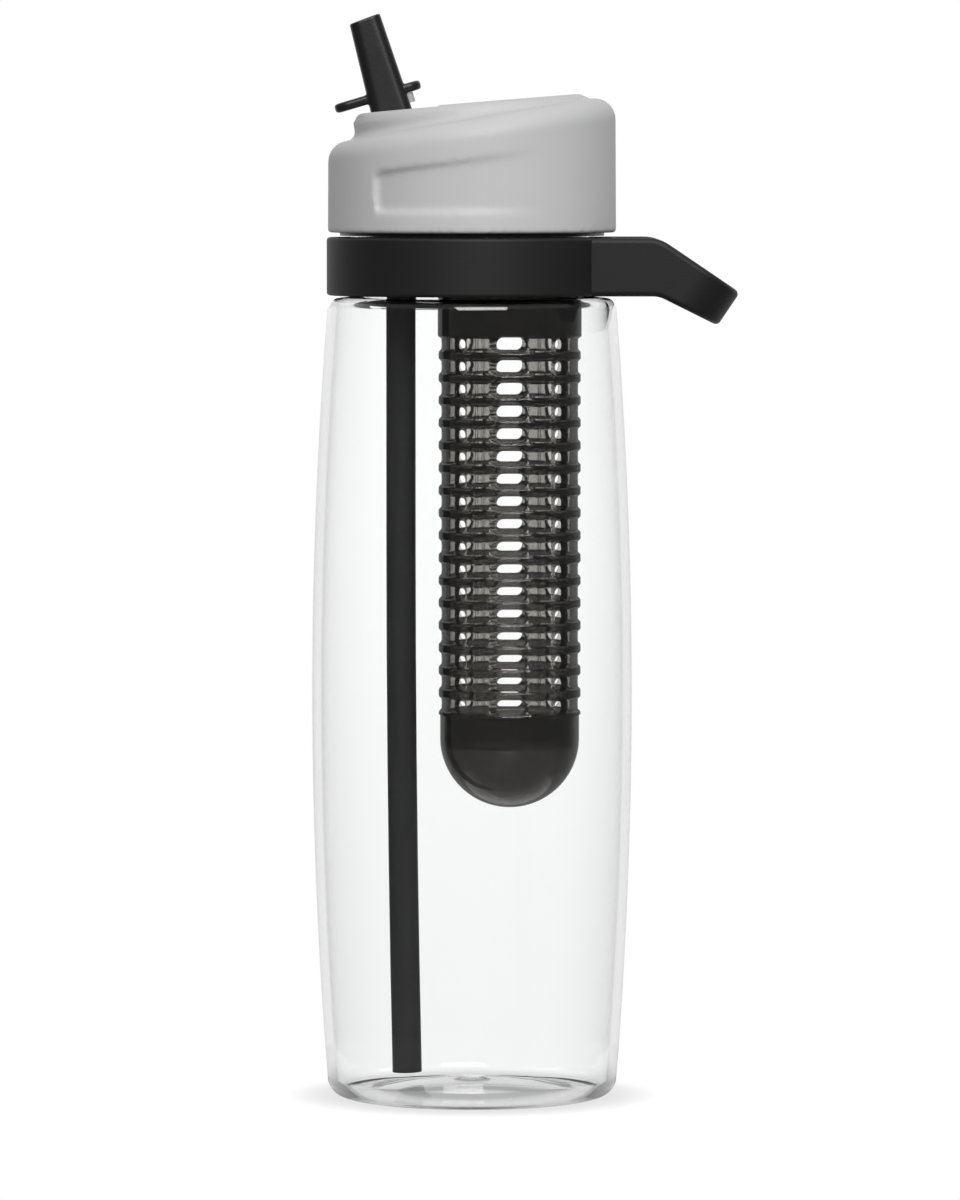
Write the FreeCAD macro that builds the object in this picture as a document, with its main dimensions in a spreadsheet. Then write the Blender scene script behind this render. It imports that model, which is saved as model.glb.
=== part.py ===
import FreeCAD
import Part
import Sketcher
import math
import os
import re

# Fruit infuser water bottle: a clear bottle with a carry band round its neck, a screw lid with
# a flip spout and a straw, and a slotted infuser basket that hangs from the lid.
# Millimetres and degrees. The origin is on the bottle's axis in the plane that it stands on.
# +Z is up and +X points to the carry loop. The spout folds from -X towards +X.

SIZES = {
    # Bottle
    "belly_radius": 38.05,
    "waist_radius": 34.15,
    "shoulder_height": 188.8,
    "shoulder_rise": 1.7,
    "shoulder_corner": 2.6,
    "wall": 2.2,
    "inner_corner": 1.6,
    "base_wall": 2.2,
    "foot_corner": 4.5,
    "foot_ring": 25.0,
    "punt_rise": 3.2,
    "neck_radius": 29.2,
    "neck_wall": 2.0,
    # Carry band with its loop
    "band_clearance": 0.6,
    "band_seat": 0.3,
    "band_height": 13.8,
    "band_radius": 34.5,
    "band_round": 0.8,
    "loop_half_width": 20.0,
    "loop_wall": 4.4,
    "loop_corner": 11.0,
    "loop_bend": 44.0,
    "loop_bend_round": 9.0,
    "loop_fold_round": 6.0,
    "loop_droop": 34.0,
    "loop_drop": 23.3,
    "loop_tip_height": 9.4,
    "loop_edge": 1.3,
    # Lid liner, gasket and vent
    "skirt_gap": 0.35,
    "skirt_show": 0.75,
    "skirt_depth": 8.45,
    "thread_room": 1.2,
    "skirt_wall": 1.0,
    "deck_thickness": 1.6,
    "gasket_thickness": 1.2,
    "gasket_inset": 0.2,
    "vent_x": -9.0,
    "vent_y": 19.0,
    "vent_stem_radius": 1.1,
    "vent_cap_radius": 3.0,
    "vent_cap_height": 0.8,
    "vent_bulb_radius": 1.7,
    "vent_bulb_height": 2.2,
    "vent_fit": 0.05,
    # Lid shell
    "shell_fit": 0.25,
    "shell_radius": 34.2,
    "shell_draft": 0.2,
    "lid_rise": 26.85,
    "lid_slope": 9.8,
    "rim_round": 5.0,
    "roof": 2.6,
    "platform_rise": 3.45,
    "platform_slope": 4.6,
    "platform_radius": 27.9,
    "platform_round": 1.8,
    "cove_radius": 2.0,
    "cove_sink": 0.12,
    "lip_start": 9.0,
    "lip_end": 26.0,
    "lip_width": 3.4,
    "lip_height": 0.45,
    "lip_round": 0.4,
    "grip_left": 22.7,
    "grip_right": 17.9,
    "grip_low": 4.9,
    "grip_height": 9.2,
    "grip_slope": 7.8,
    "grip_corner": 2.0,
    "grip_shift_x": 1.25,
    "grip_shift_y": 0.77,
    # Spout, its seal and its flow tube
    "pivot_x": 17.9,
    "pivot_drop": 6.1,
    "spout_lean": 16.5,
    "spout_length": 27.5,
    "spout_root_depth": 10.3,
    "spout_root_width": 9.2,
    "spout_tip_depth": 7.6,
    "spout_tip_width": 7.4,
    "spout_corner": 2.4,
    "spout_bevel": 0.6,
    "drum_radius": 5.2,
    "drum_width": 9.4,
    "trunnion_radius": 2.0,
    "trunnion_length": 1.4,
    "trunnion_fit": 0.08,
    "flange_height": 8.9,
    "flange_thickness": 2.2,
    "flange_front": 12.6,
    "flange_back": 8.6,
    "flange_width": 11.4,
    "flange_corner": 4.7,
    "flange_round": 0.8,
    "spout_clearance": 0.6,
    "channel_side": 0.3,
    "channel_length": 40.0,
    "trough_wall": 1.6,
    "tube_radius": 2.9,
    "tube_bore": 2.1,
    "tube_fit": 0.05,
    "tube_recess": 1.2,
    "heel_low": 5.4,
    "heel_height": 2.3,
    "heel_bulge": 1.1,
    "heel_width": 4.4,
    "seal_radius": 3.4,
    "seal_bore": 2.0,
    "seal_gap": 0.3,
    "seal_fit": 0.1,
    "nipple_rise": 4.5,
    # Straw and its socket
    "straw_x": 16.9,
    "straw_radius": 3.5,
    "straw_wall": 0.8,
    "straw_gap": 0.2,
    "straw_bend": 130.0,
    "straw_drift": 1.4,
    "socket_depth": 8.0,
    "socket_wall": 1.3,
    "straw_fit": 0.05,
    # Infuser
    "infuser_x": 8.95,
    "infuser_gap": 0.3,
    "infuser_fit": 0.3,
    "spigot_length": 15.0,
    "spigot_wall": 1.5,
    "collar_radius": 17.1,
    "collar_wall": 1.4,
    "collar_seat": 1.0,
    "collar_length": 31.95,
    "rib_radius": 16.9,
    "panel_radius": 16.3,
    "basket_wall": 1.6,
    "row_count": 17,
    "row_pitch": 5.35,
    "panel_height": 3.7,
    "slot_height": 3.4,
    "slot_width": 9.4,
    "diagonal_slot_width": 5.6,
    "end_rib": 0.65,
    "cap_seam": 0.15,
    "cap_radius": 16.55,
    "cap_wall": 1.2,
    "cap_length": 22.1,
    "cap_insert": 7.5,
    "cap_fit": 0.3,
    "insert_wall": 1.2,
    # How far a cutter reaches past the face it cuts
    "cut_margin": 1.0,
}

# Heights and radii that follow from the sizes, as expressions.
BAND_LOW = "(shoulder_height + shoulder_rise + band_seat)"
BAND_TOP = f"({BAND_LOW} + band_height)"
BAND_BORE = "(neck_radius + band_clearance)"
SKIRT_LOW = f"({BAND_TOP} + skirt_gap)"
SKIRT_BORE = "(neck_radius + thread_room)"
SKIRT_RADIUS = f"({SKIRT_BORE} + skirt_wall)"
DECK_LOW = f"({SKIRT_LOW} + skirt_depth)"
DECK_TOP = f"({DECK_LOW} + deck_thickness)"
NECK_TOP = f"({DECK_LOW} - gasket_thickness)"
NECK_BORE = "(neck_radius - neck_wall)"
SHELL_LOW = f"({SKIRT_LOW} + skirt_show)"
SHELL_BORE = f"({SKIRT_RADIUS} + shell_fit)"
CREST = f"({SHELL_LOW} + lid_rise)"
PLATFORM = f"({CREST} + platform_rise)"
PIVOT_Z = f"({PLATFORM} - pivot_drop)"
SPOUT_TURN = "(90 - platform_slope + spout_lean)"
POCKET_RADIUS = "(drum_radius + spout_clearance)"
CHANNEL_WIDTH = "(drum_width + 2 * channel_side)"
TROUGH_WIDTH = "(flange_width + 2 * spout_clearance + 2 * trough_wall)"
NIPPLE_TOP = f"({DECK_TOP} + nipple_rise)"
STRAW_LOW = "(punt_rise + base_wall + straw_gap)"
BASKET_TOP = f"({DECK_LOW} - infuser_gap)"
COLLAR_BORE = "(collar_radius - collar_wall)"
SPIGOT_RADIUS = f"({COLLAR_BORE} - infuser_fit)"
SPIGOT_LOW = f"({DECK_LOW} - spigot_length)"
COLLAR_LOW = f"({BASKET_TOP} - collar_length)"
FIRST_ROW = f"({COLLAR_LOW} - panel_height / 2)"
LAST_PANEL = f"({FIRST_ROW} - (row_count - 1) * row_pitch - panel_height / 2)"
CAP_TOP = f"({LAST_PANEL} - end_rib - cap_seam)"
CAP_LOW = f"({CAP_TOP} - cap_length)"
CAP_BORE = "(cap_radius - cap_wall)"
INSERT_RADIUS = f"({CAP_BORE} - cap_fit)"

# How an arc turns on its way round an outline.
LEFT = 1
RIGHT = -1

# Edges closer than this to where they are looked for are the ones meant.
NEAR = 1e-3

doc = FreeCAD.newDocument("infuser_bottle")
sheet = doc.addObject("Spreadsheet::Sheet", "Sizes")
for row, (alias, number) in enumerate(SIZES.items(), start=1):
    sheet.set(f"A{row}", alias)
    sheet.set(f"B{row}", str(number))
    sheet.setAlias(f"B{row}", alias)
doc.recompute()


def bound(text):
    """Expression text with each size name pointing at its cell."""
    return re.sub(r"[a-z_]+", lambda word: f"Sizes.{word[0]}" if word[0] in SIZES else word[0], text)


def value(text):
    """Number that an expression stands for now."""
    return float(sheet.evalExpression(bound(text)))


def new_body(name, x="0", z="0", lean="0"):
    """Body whose own frame stands at (x, 0, z) and leans from +Z towards +X."""
    body = doc.addObject("PartDesign::Body", name)
    place = FreeCAD.Vector(value(x), 0, value(z))
    turn = FreeCAD.Rotation(FreeCAD.Vector(0, 1, 0), value(lean))
    body.Placement = FreeCAD.Placement(place, turn)
    body.setExpression("Placement.Base.x", bound(x))
    body.setExpression("Placement.Base.z", bound(z))
    if lean != "0":
        body.setExpression("Placement.Rotation.Angle", bound(lean))
    return body


def new_sketch(body, plane, height="0", turn=0):
    """Empty sketch on one of the body's own planes, raised along the plane's normal."""
    sketch = body.newObject("Sketcher::SketchObject", f"{body.Name}_sketch")
    origin_plane = next(item for item in body.Origin.OriginFeatures if item.Role == plane)
    sketch.AttachmentSupport = (origin_plane, [""])
    sketch.MapMode = "FlatFace"
    sketch.AttachmentOffset = FreeCAD.Placement(
        FreeCAD.Vector(0, 0, value(height)), FreeCAD.Rotation(FreeCAD.Vector(0, 1, 0), turn)
    )
    if height != "0":
        sketch.setExpression("AttachmentOffset.Base.z", bound(height))
    return sketch


def pin_point(sketch, edge, end, x, y):
    """Hold one end or centre of a sketch edge at (x, y)."""
    for kind, text in (("DistanceX", x), ("DistanceY", y)):
        number = sketch.addConstraint(Sketcher.Constraint(kind, -1, 1, edge, end, value(text)))
        sketch.setExpression(f"Constraints[{number}]", bound(text))


def hold_radius(sketch, edge, radius):
    """Tie the radius of a sketch arc or circle to an expression."""
    number = sketch.addConstraint(Sketcher.Constraint("Radius", edge, value(radius)))
    sketch.setExpression(f"Constraints[{number}]", bound(radius))


def arc_between(start, end, radius, turn):
    """Arc of less than half a turn from start to end that bends left or right."""
    chord = end - start
    sideways = FreeCAD.Vector(-chord.y, chord.x, 0).normalize() * turn
    centre = (start + end) * 0.5 + sideways * math.sqrt(radius ** 2 - (chord.Length / 2) ** 2)
    first, last = (start, end) if turn == LEFT else (end, start)
    first_angle = math.atan2(first.y - centre.y, first.x - centre.x)
    last_angle = math.atan2(last.y - centre.y, last.x - centre.x)
    return Part.ArcOfCircle(Part.Circle(centre, FreeCAD.Vector(0, 0, 1), radius), first_angle, last_angle)


def draw_outline(sketch, corners):
    """Closed outline. A corner is (x, y), or (x, y, radius, turn) where an arc leads to it."""
    points = [FreeCAD.Vector(value(corner[0]), value(corner[1]), 0) for corner in corners]
    first_edge = sketch.GeometryCount
    ends = []
    for index, corner in enumerate(corners):
        if len(corner) == 2:
            sketch.addGeometry(Part.LineSegment(points[index - 1], points[index]), False)
            ends.append((1, 2))
        else:
            turn = corner[3]
            arc = arc_between(points[index - 1], points[index], value(corner[2]), turn)
            sketch.addGeometry(arc, False)
            ends.append((1, 2) if turn == LEFT else (2, 1))
    for index, corner in enumerate(corners):
        edge = first_edge + index
        following = (index + 1) % len(corners)
        sketch.addConstraint(
            Sketcher.Constraint("Coincident", edge, ends[index][1], first_edge + following, ends[following][0])
        )
        pin_point(sketch, edge, ends[index][1], corner[0], corner[1])
        if len(corner) > 2:
            hold_radius(sketch, edge, corner[2])


def draw_circle(sketch, radius, x="0", y="0"):
    """Circle of a given radius about (x, y)."""
    centre = FreeCAD.Vector(value(x), value(y), 0)
    edge = sketch.addGeometry(Part.Circle(centre, FreeCAD.Vector(0, 0, 1), value(radius)), False)
    pin_point(sketch, edge, 3, x, y)
    hold_radius(sketch, edge, radius)


def rounded_box(low_x, high_x, half_width, corner):
    """Corners of a rectangle with round corners, even about the x axis."""
    return [
        (f"{low_x} + {corner}", f"-({half_width})"),
        (f"{high_x} - {corner}", f"-({half_width})"),
        (high_x, f"{corner} - ({half_width})", corner, LEFT),
        (high_x, f"{half_width} - {corner}"),
        (f"{high_x} - {corner}", half_width, corner, LEFT),
        (f"{low_x} + {corner}", half_width),
        (low_x, f"{half_width} - {corner}", corner, LEFT),
        (low_x, f"{corner} - ({half_width})"),
        (f"{low_x} + {corner}", f"-({half_width})", corner, LEFT),
    ][1:]


def revolve(body, corners):
    """Turn an outline of (radius, height) corners about the body's own Z axis."""
    sketch = new_sketch(body, "XZ_Plane")
    draw_outline(sketch, corners)
    feature = body.newObject("PartDesign::Revolution", f"{body.Name}_revolution")
    feature.Profile = sketch
    feature.ReferenceAxis = (sketch, ["V_Axis"])
    feature.Angle = 360
    return feature


def extrude(body, kind, sketch, length, both_ways=False, backwards=False):
    """Pad or Pocket of a sketch, along its normal or evenly to both sides."""
    feature = body.newObject(f"PartDesign::{kind}", f"{body.Name}_{kind.lower()}")
    feature.Profile = sketch
    feature.setExpression("Length", bound(length))
    feature.SideType = "Symmetric" if both_ways else "One side"
    feature.Reversed = backwards
    return feature


def pad_circle(body, radius, low, length, x="0", y="0"):
    """Upright cylinder on the body."""
    sketch = new_sketch(body, "XY_Plane", low)
    draw_circle(sketch, radius, x, y)
    return extrude(body, "Pad", sketch, length)


def pocket_circle(body, radius, top, length, x="0", y="0"):
    """Upright round hole from a height downwards."""
    sketch = new_sketch(body, "XY_Plane", top)
    draw_circle(sketch, radius, x, y)
    return extrude(body, "Pocket", sketch, length)


def soften(body, radius, chosen):
    """Fillet every edge of the body's tip for which chosen(edge) is true."""
    doc.recompute()
    base = body.Tip
    edges = enumerate(base.Shape.Edges, start=1)
    names = [f"Edge{number}" for number, edge in edges if not edge.Degenerated and chosen(edge)]
    feature = body.newObject("PartDesign::Fillet", f"{body.Name}_fillet")
    feature.Base = (base, names)
    feature.setExpression("Radius", bound(radius))
    doc.recompute()
    return feature


def ring_at(radius, height):
    """Test for a circular edge of the given radius about Z at the given height."""
    wanted_radius = value(radius)
    wanted_height = value(height)

    def chosen(edge):
        if not isinstance(edge.Curve, Part.Circle):
            return False
        right_radius = abs(edge.Curve.Radius - wanted_radius) < NEAR
        return right_radius and abs(edge.Curve.Center.z - wanted_height) < NEAR

    return chosen


def join(kind, name, first, *others):
    """Part boolean of whole solids: Cut, Fuse or Common, one tool after the other."""
    result = first
    for number, other in enumerate(others, start=1):
        feature = doc.addObject(f"Part::{kind}", name if number == len(others) else f"{name}_{number}")
        feature.Base = result
        feature.Tool = other
        feature.Refine = True
        result = feature
    return result


def slanted_cylinder(name, radius, top_radius, low, height, slope):
    """Upright round block from low, cut off by a plane that rises towards +X through (0, 0, height)."""
    body = new_body(name)
    over = f"({height} + 2 * ({radius}) * tan({slope}))"
    revolve(body, [("0", low), (radius, low), (top_radius, over), ("0", over)])
    span = f"(2 * ({radius}))"
    sketch = new_sketch(body, "XZ_Plane")
    draw_outline(sketch, [
        (f"-{span}", f"{height} - {span} * tan({slope})"),
        (span, f"{height} + {span} * tan({slope})"),
        (span, f"{over} + {span}"),
        (f"-{span}", f"{over} + {span}"),
    ])
    extrude(body, "Pocket", sketch, f"2 * {span}", both_ways=True)
    return body


def make_bottle_body():
    """Clear blown bottle: a barrel side on one large arc, a domed base and a straight neck."""
    body = new_body("bottle_body")
    bulge = "(belly_radius - waist_radius)"
    inner_half = "((shoulder_height - wall - base_wall) / 2)"
    side_arc = f"({bulge}^2 + (shoulder_height / 2)^2) / (2 * abs({bulge}))"
    inner_arc = f"({bulge}^2 + {inner_half}^2) / (2 * abs({bulge}))"
    swell, swell_back = (LEFT, RIGHT) if value(bulge) > 0 else (RIGHT, LEFT)
    punt_arc = "(foot_ring^2 + punt_rise^2) / (2 * punt_rise)"
    neck_foot = "(shoulder_height + shoulder_rise)"
    revolve(body, [
        ("0", "punt_rise"),
        ("foot_ring", "0", punt_arc, RIGHT),
        ("waist_radius", "0"),
        ("waist_radius", "shoulder_height", side_arc, swell),
        ("neck_radius", neck_foot),
        ("neck_radius", NECK_TOP),
        (NECK_BORE, NECK_TOP),
        (NECK_BORE, f"{neck_foot} - wall"),
        ("waist_radius - wall", "shoulder_height - wall"),
        ("waist_radius - wall", "base_wall", inner_arc, swell_back),
        ("foot_ring", "base_wall"),
        ("0", "punt_rise + base_wall", punt_arc, LEFT),
    ])
    soften(body, "foot_corner", ring_at("waist_radius", "0"))
    soften(body, "shoulder_corner", ring_at("waist_radius", "shoulder_height"))
    soften(body, "inner_corner", ring_at("waist_radius - wall", "shoulder_height - wall"))
    soften(body, "foot_corner - base_wall / 2", ring_at("waist_radius - wall", "base_wall"))
    return body


def make_loop():
    """Finger loop: a flat strap with soft edges. Its own frame has X along the drooping end."""
    body = new_body("finger_loop", "loop_bend", BAND_TOP, "loop_droop")
    root = ("-loop_bend * cos(loop_droop)", "-loop_bend * sin(loop_droop)")
    down = ("band_height * sin(loop_droop)", "-band_height * cos(loop_droop)")
    side = new_sketch(body, "XZ_Plane")
    draw_outline(side, [
        ("0", "0"),
        root,
        (f"{root[0]} + {down[0]}", f"{root[1]} + {down[1]}"),
        down,
        ("loop_drop", "-loop_tip_height"),
        ("loop_drop", "0"),
    ])
    extrude(body, "Pad", side, "2 * loop_half_width", both_ways=True)

    def edge_at(x, y, z):
        place = FreeCAD.Vector(value(x), value(y), value(z))
        return lambda edge: (edge.CenterOfMass - place).Length < NEAR

    soften(body, "loop_bend_round", edge_at("0", "0", "0"))
    soften(body, "loop_fold_round", edge_at(down[0], "0", down[1]))
    corner = ("loop_drop", "loop_half_width", "-loop_tip_height / 2")
    soften(body, "loop_corner", edge_at(*corner))
    soften(body, "loop_corner", edge_at(corner[0], f"-{corner[1]}", corner[2]))
    gap = new_sketch(body, "XY_Plane")
    draw_outline(gap, rounded_box("-2 * loop_bend", "loop_drop - loop_wall", "loop_half_width - loop_wall",
                                  "(loop_corner - loop_wall)"))
    extrude(body, "Pocket", gap, "4 * loop_bend", both_ways=True)
    tip_walls = (value("loop_drop"), value("loop_drop - loop_wall"))

    def long_edge(edge):
        box = edge.BoundBox
        if abs(box.YLength - edge.Length) < NEAR:
            return any(abs(edge.CenterOfMass.x - wall) < NEAR for wall in tip_walls)
        at_root = abs(body.Placement.multVec(edge.CenterOfMass).x) < NEAR
        return not at_root and abs(box.ZLength - edge.Length) > NEAR

    soften(body, "loop_edge", long_edge)
    return body


def make_carry_band():
    """Ring round the neck with a drooping finger loop."""
    ring = new_body("band_ring")
    revolve(ring, [
        ("0", BAND_LOW),
        ("band_radius - band_round", BAND_LOW),
        ("band_radius", f"{BAND_LOW} + band_round", "band_round", LEFT),
        ("band_radius", f"{BAND_TOP} - band_round"),
        ("band_radius - band_round", BAND_TOP, "band_round", LEFT),
        ("0", BAND_TOP),
    ])
    whole = join("Fuse", "band_with_loop", ring, make_loop())
    bore = new_body("band_bore")
    pad_circle(bore, BAND_BORE, f"{BAND_LOW} - cut_margin", "band_height + 2 * cut_margin")
    return join("Cut", "carry_band", whole, bore)


def make_lid_liner():
    """Threaded inner cup of the lid, with the infuser's spigot and the straw's socket."""
    body = new_body("lid_liner")
    revolve(body, [
        ("0", DECK_LOW),
        (SKIRT_BORE, DECK_LOW),
        (SKIRT_BORE, SKIRT_LOW),
        (SKIRT_RADIUS, SKIRT_LOW),
        (SKIRT_RADIUS, DECK_TOP),
        ("0", DECK_TOP),
    ])
    spigot = new_sketch(body, "XY_Plane", SPIGOT_LOW)
    draw_circle(spigot, SPIGOT_RADIUS, "infuser_x")
    draw_circle(spigot, f"{SPIGOT_RADIUS} - spigot_wall", "infuser_x")
    extrude(body, "Pad", spigot, "spigot_length + deck_thickness / 2")
    socket = new_sketch(body, "XY_Plane", f"{DECK_LOW} - socket_depth")
    draw_circle(socket, "straw_radius + straw_fit + socket_wall", "-straw_x")
    draw_circle(socket, "straw_radius + straw_fit", "-straw_x")
    extrude(body, "Pad", socket, "socket_depth")
    pad_circle(body, "seal_radius", f"{DECK_TOP} - deck_thickness / 2",
               "nipple_rise + deck_thickness / 2", "-straw_x")
    pocket_circle(body, "seal_bore", NIPPLE_TOP, "nipple_rise + deck_thickness", "-straw_x")
    pocket_circle(body, "vent_stem_radius + vent_fit", DECK_TOP, "deck_thickness", "vent_x", "vent_y")
    return body


def make_lid_gasket():
    """Flat silicone ring between the neck's rim and the deck of the liner."""
    body = new_body("lid_gasket")
    inner = f"({NECK_BORE} + gasket_inset)"
    outer = f"({SKIRT_BORE} - gasket_inset)"
    revolve(body, [(inner, NECK_TOP), (outer, NECK_TOP), (outer, DECK_LOW), (inner, DECK_LOW)])
    return body


def make_vent_valve():
    """Silicone umbrella valve that lets air back into the bottle."""
    body = new_body("vent_valve")
    pad_circle(body, "vent_cap_radius", DECK_TOP, "vent_cap_height", "vent_x", "vent_y")
    pad_circle(body, "vent_stem_radius", DECK_LOW, "deck_thickness", "vent_x", "vent_y")
    pad_circle(body, "vent_bulb_radius", f"{DECK_LOW} - vent_bulb_height", "vent_bulb_height",
               "vent_x", "vent_y")
    return body


def channel_outline(offset, length):
    """Side outline of the spout's channel, grown by an offset, in the folded spout's frame."""
    radius = f"({POCKET_RADIUS} + {offset})"
    above = "(3 * flange_front)"
    return [
        (f"-{radius} * sin({SPOUT_TURN}) + {above} * cos({SPOUT_TURN})",
         f"{radius} * cos({SPOUT_TURN}) + {above} * sin({SPOUT_TURN})"),
        (f"-{radius} * sin({SPOUT_TURN})", f"{radius} * cos({SPOUT_TURN})"),
        (f"-{radius} * sin(45)", f"-{radius} * cos(45)", radius, LEFT),
        ("0", f"-{radius}", radius, LEFT),
        (f"{length} + {offset}", f"-{radius}"),
        (f"{length} + {offset}", above),
    ]


def flange_pocket_outline(offset):
    """Side outline of the pocket that takes the flange of the folded spout."""
    corner = "sqrt((flange_height + flange_thickness / 2)^2 + flange_back^2)"
    sweep = f"({corner} + spout_clearance + {offset})"
    floor = f"(flange_back + spout_clearance + {offset})"
    near = f"(heel_low - spout_clearance - {offset})"
    above = "(3 * flange_front)"
    return [
        (near, f"-{floor}"),
        (f"sqrt({sweep}^2 - {floor}^2)", f"-{floor}"),
        (sweep, "0", sweep, LEFT),
        (sweep, above),
        (near, above),
    ]


def folded_block(name, outline, width):
    """Block along Y with a side outline in the folded spout's frame."""
    body = new_body(name, "-pivot_x", PIVOT_Z, "-platform_slope")
    sketch = new_sketch(body, "XZ_Plane")
    draw_outline(sketch, outline)
    extrude(body, "Pad", sketch, width, both_ways=True)
    return body


def make_platform():
    """Raised round top of the lid: a rounded cap above a cove that runs into the slanted shoulder."""
    cap = new_body("platform_cap", "0", PLATFORM, "-platform_slope")
    flare = "platform_radius"
    revolve(cap, [
        ("0", "-platform_radius"),
        (f"platform_radius + {flare}", "-platform_radius"),
        (f"platform_radius + {flare}", f"-platform_round - {flare} / 2"),
        ("platform_radius", "-platform_round"),
        ("platform_radius - platform_round", "0", "platform_round", LEFT),
        ("0", "0"),
    ])
    cove = new_body("platform_cove", "0", CREST, "-lid_slope")
    revolve(cove, [
        ("0", "-roof / 2"),
        ("platform_radius + cove_radius", "-roof / 2"),
        ("platform_radius + cove_radius", "-cove_sink"),
        ("platform_radius", "cove_radius - cove_sink", "cove_radius", RIGHT),
        ("platform_radius", "platform_radius"),
        ("0", "platform_radius"),
    ])
    return join("Common", "platform", cap, cove)


def make_lips():
    """Low raised edges that flank the folded spout."""
    body = new_body("lips", "0", PLATFORM, "-platform_slope")
    sketch = new_sketch(body, "XY_Plane", "-roof / 2")
    half = f"({CHANNEL_WIDTH} / 2 + lip_width)"
    draw_outline(sketch, rounded_box("-lip_start", "lip_end", half, "lip_width"))
    extrude(body, "Pad", sketch, "roof / 2 + lip_height")
    top = value("lip_height")

    def top_edge(edge):
        local = body.Placement.inverse().multVec(edge.CenterOfMass)
        return abs(edge.CenterOfMass.z - top) < NEAR or abs(local.z - top) < NEAR

    soften(body, "lip_round", top_edge)
    return body


def make_grip(name, side):
    """Cutter of one shallow grip recess: deepest towards -X, running out towards +X."""
    face = new_body(f"{name}_face")
    sketch = new_sketch(face, "XZ_Plane")
    low = f"({SHELL_LOW} + grip_low)"
    left_top = f"({low} + grip_height)"
    right_top = f"({low} + grip_height + (grip_left + grip_right) * tan(grip_slope))"
    draw_outline(sketch, [
        ("-grip_left", low),
        ("grip_right", low),
        ("grip_right", right_top),
        ("-grip_left", left_top),
    ])
    extrude(face, "Pad", sketch, "2 * shell_radius", backwards=side < 0)

    def left_edge(edge):
        upright_x = edge.CenterOfMass.x + value("grip_left")
        along_y = abs(edge.BoundBox.YLength - edge.Length) < NEAR
        return along_y and abs(upright_x) < NEAR

    soften(face, "grip_corner", left_edge)
    floor = new_body(f"{name}_floor")
    pad_circle(floor, "shell_radius", SHELL_LOW, "2 * lid_rise", "grip_shift_x",
               "grip_shift_y" if side > 0 else "-grip_shift_y")
    return join("Cut", name, face, floor)


def make_lid_shell():
    """Grey outer shell of the lid: slanted shoulder, raised top, spout channel and grip recesses."""
    shoulder = slanted_cylinder("shoulder", "shell_radius", "shell_radius - shell_draft",
                                SHELL_LOW, CREST, "lid_slope")
    middle = value(f"{SHELL_LOW} + lid_rise / 3")
    soften(shoulder, "rim_round",
           lambda edge: edge.BoundBox.ZMin > middle and not isinstance(edge.Curve, Part.Line))
    outer = join("Fuse", "lid_outer", shoulder, make_platform(), make_lips())
    inside = slanted_cylinder("lid_inside", SHELL_BORE, SHELL_BORE, f"{SHELL_LOW} - cut_margin",
                              f"({CREST} - roof / cos(lid_slope))", "lid_slope")
    platform_inside = slanted_cylinder(
        "platform_inside", "platform_radius - roof", "platform_radius - roof",
        f"{SHELL_LOW} - cut_margin", f"({PLATFORM} - roof / cos(platform_slope))", "platform_slope")
    hollow = join("Cut", "lid_hollow", outer, inside, platform_inside)
    trough = join("Fuse", "trough_block",
                  folded_block("trough", channel_outline("trough_wall", "channel_length"), TROUGH_WIDTH),
                  folded_block("flange_trough", flange_pocket_outline("trough_wall"), TROUGH_WIDTH))
    trough_in_lid = join("Common", "trough_in_lid", trough, outer)
    filled = join("Fuse", "lid_filled", hollow, trough_in_lid)
    sockets = new_body("trunnion_sockets", "-pivot_x", PIVOT_Z)
    sketch = new_sketch(sockets, "XZ_Plane")
    draw_circle(sketch, "trunnion_radius + trunnion_fit")
    extrude(sockets, "Pad", sketch, "drum_width + 2 * trunnion_length + 2 * channel_side", both_ways=True)
    seal_hole = new_body("seal_hole")
    pad_circle(seal_hole, "seal_radius + seal_fit", DECK_TOP, f"{PIVOT_Z} - {DECK_TOP}", "-straw_x")
    return join("Cut", "lid_shell", filled,
                folded_block("channel", channel_outline("0", "channel_length"), CHANNEL_WIDTH),
                folded_block("flange_pocket", flange_pocket_outline("0"),
                             "(flange_width + 2 * spout_clearance)"),
                sockets, seal_hole, make_grip("front_grip", 1), make_grip("back_grip", -1))


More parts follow.
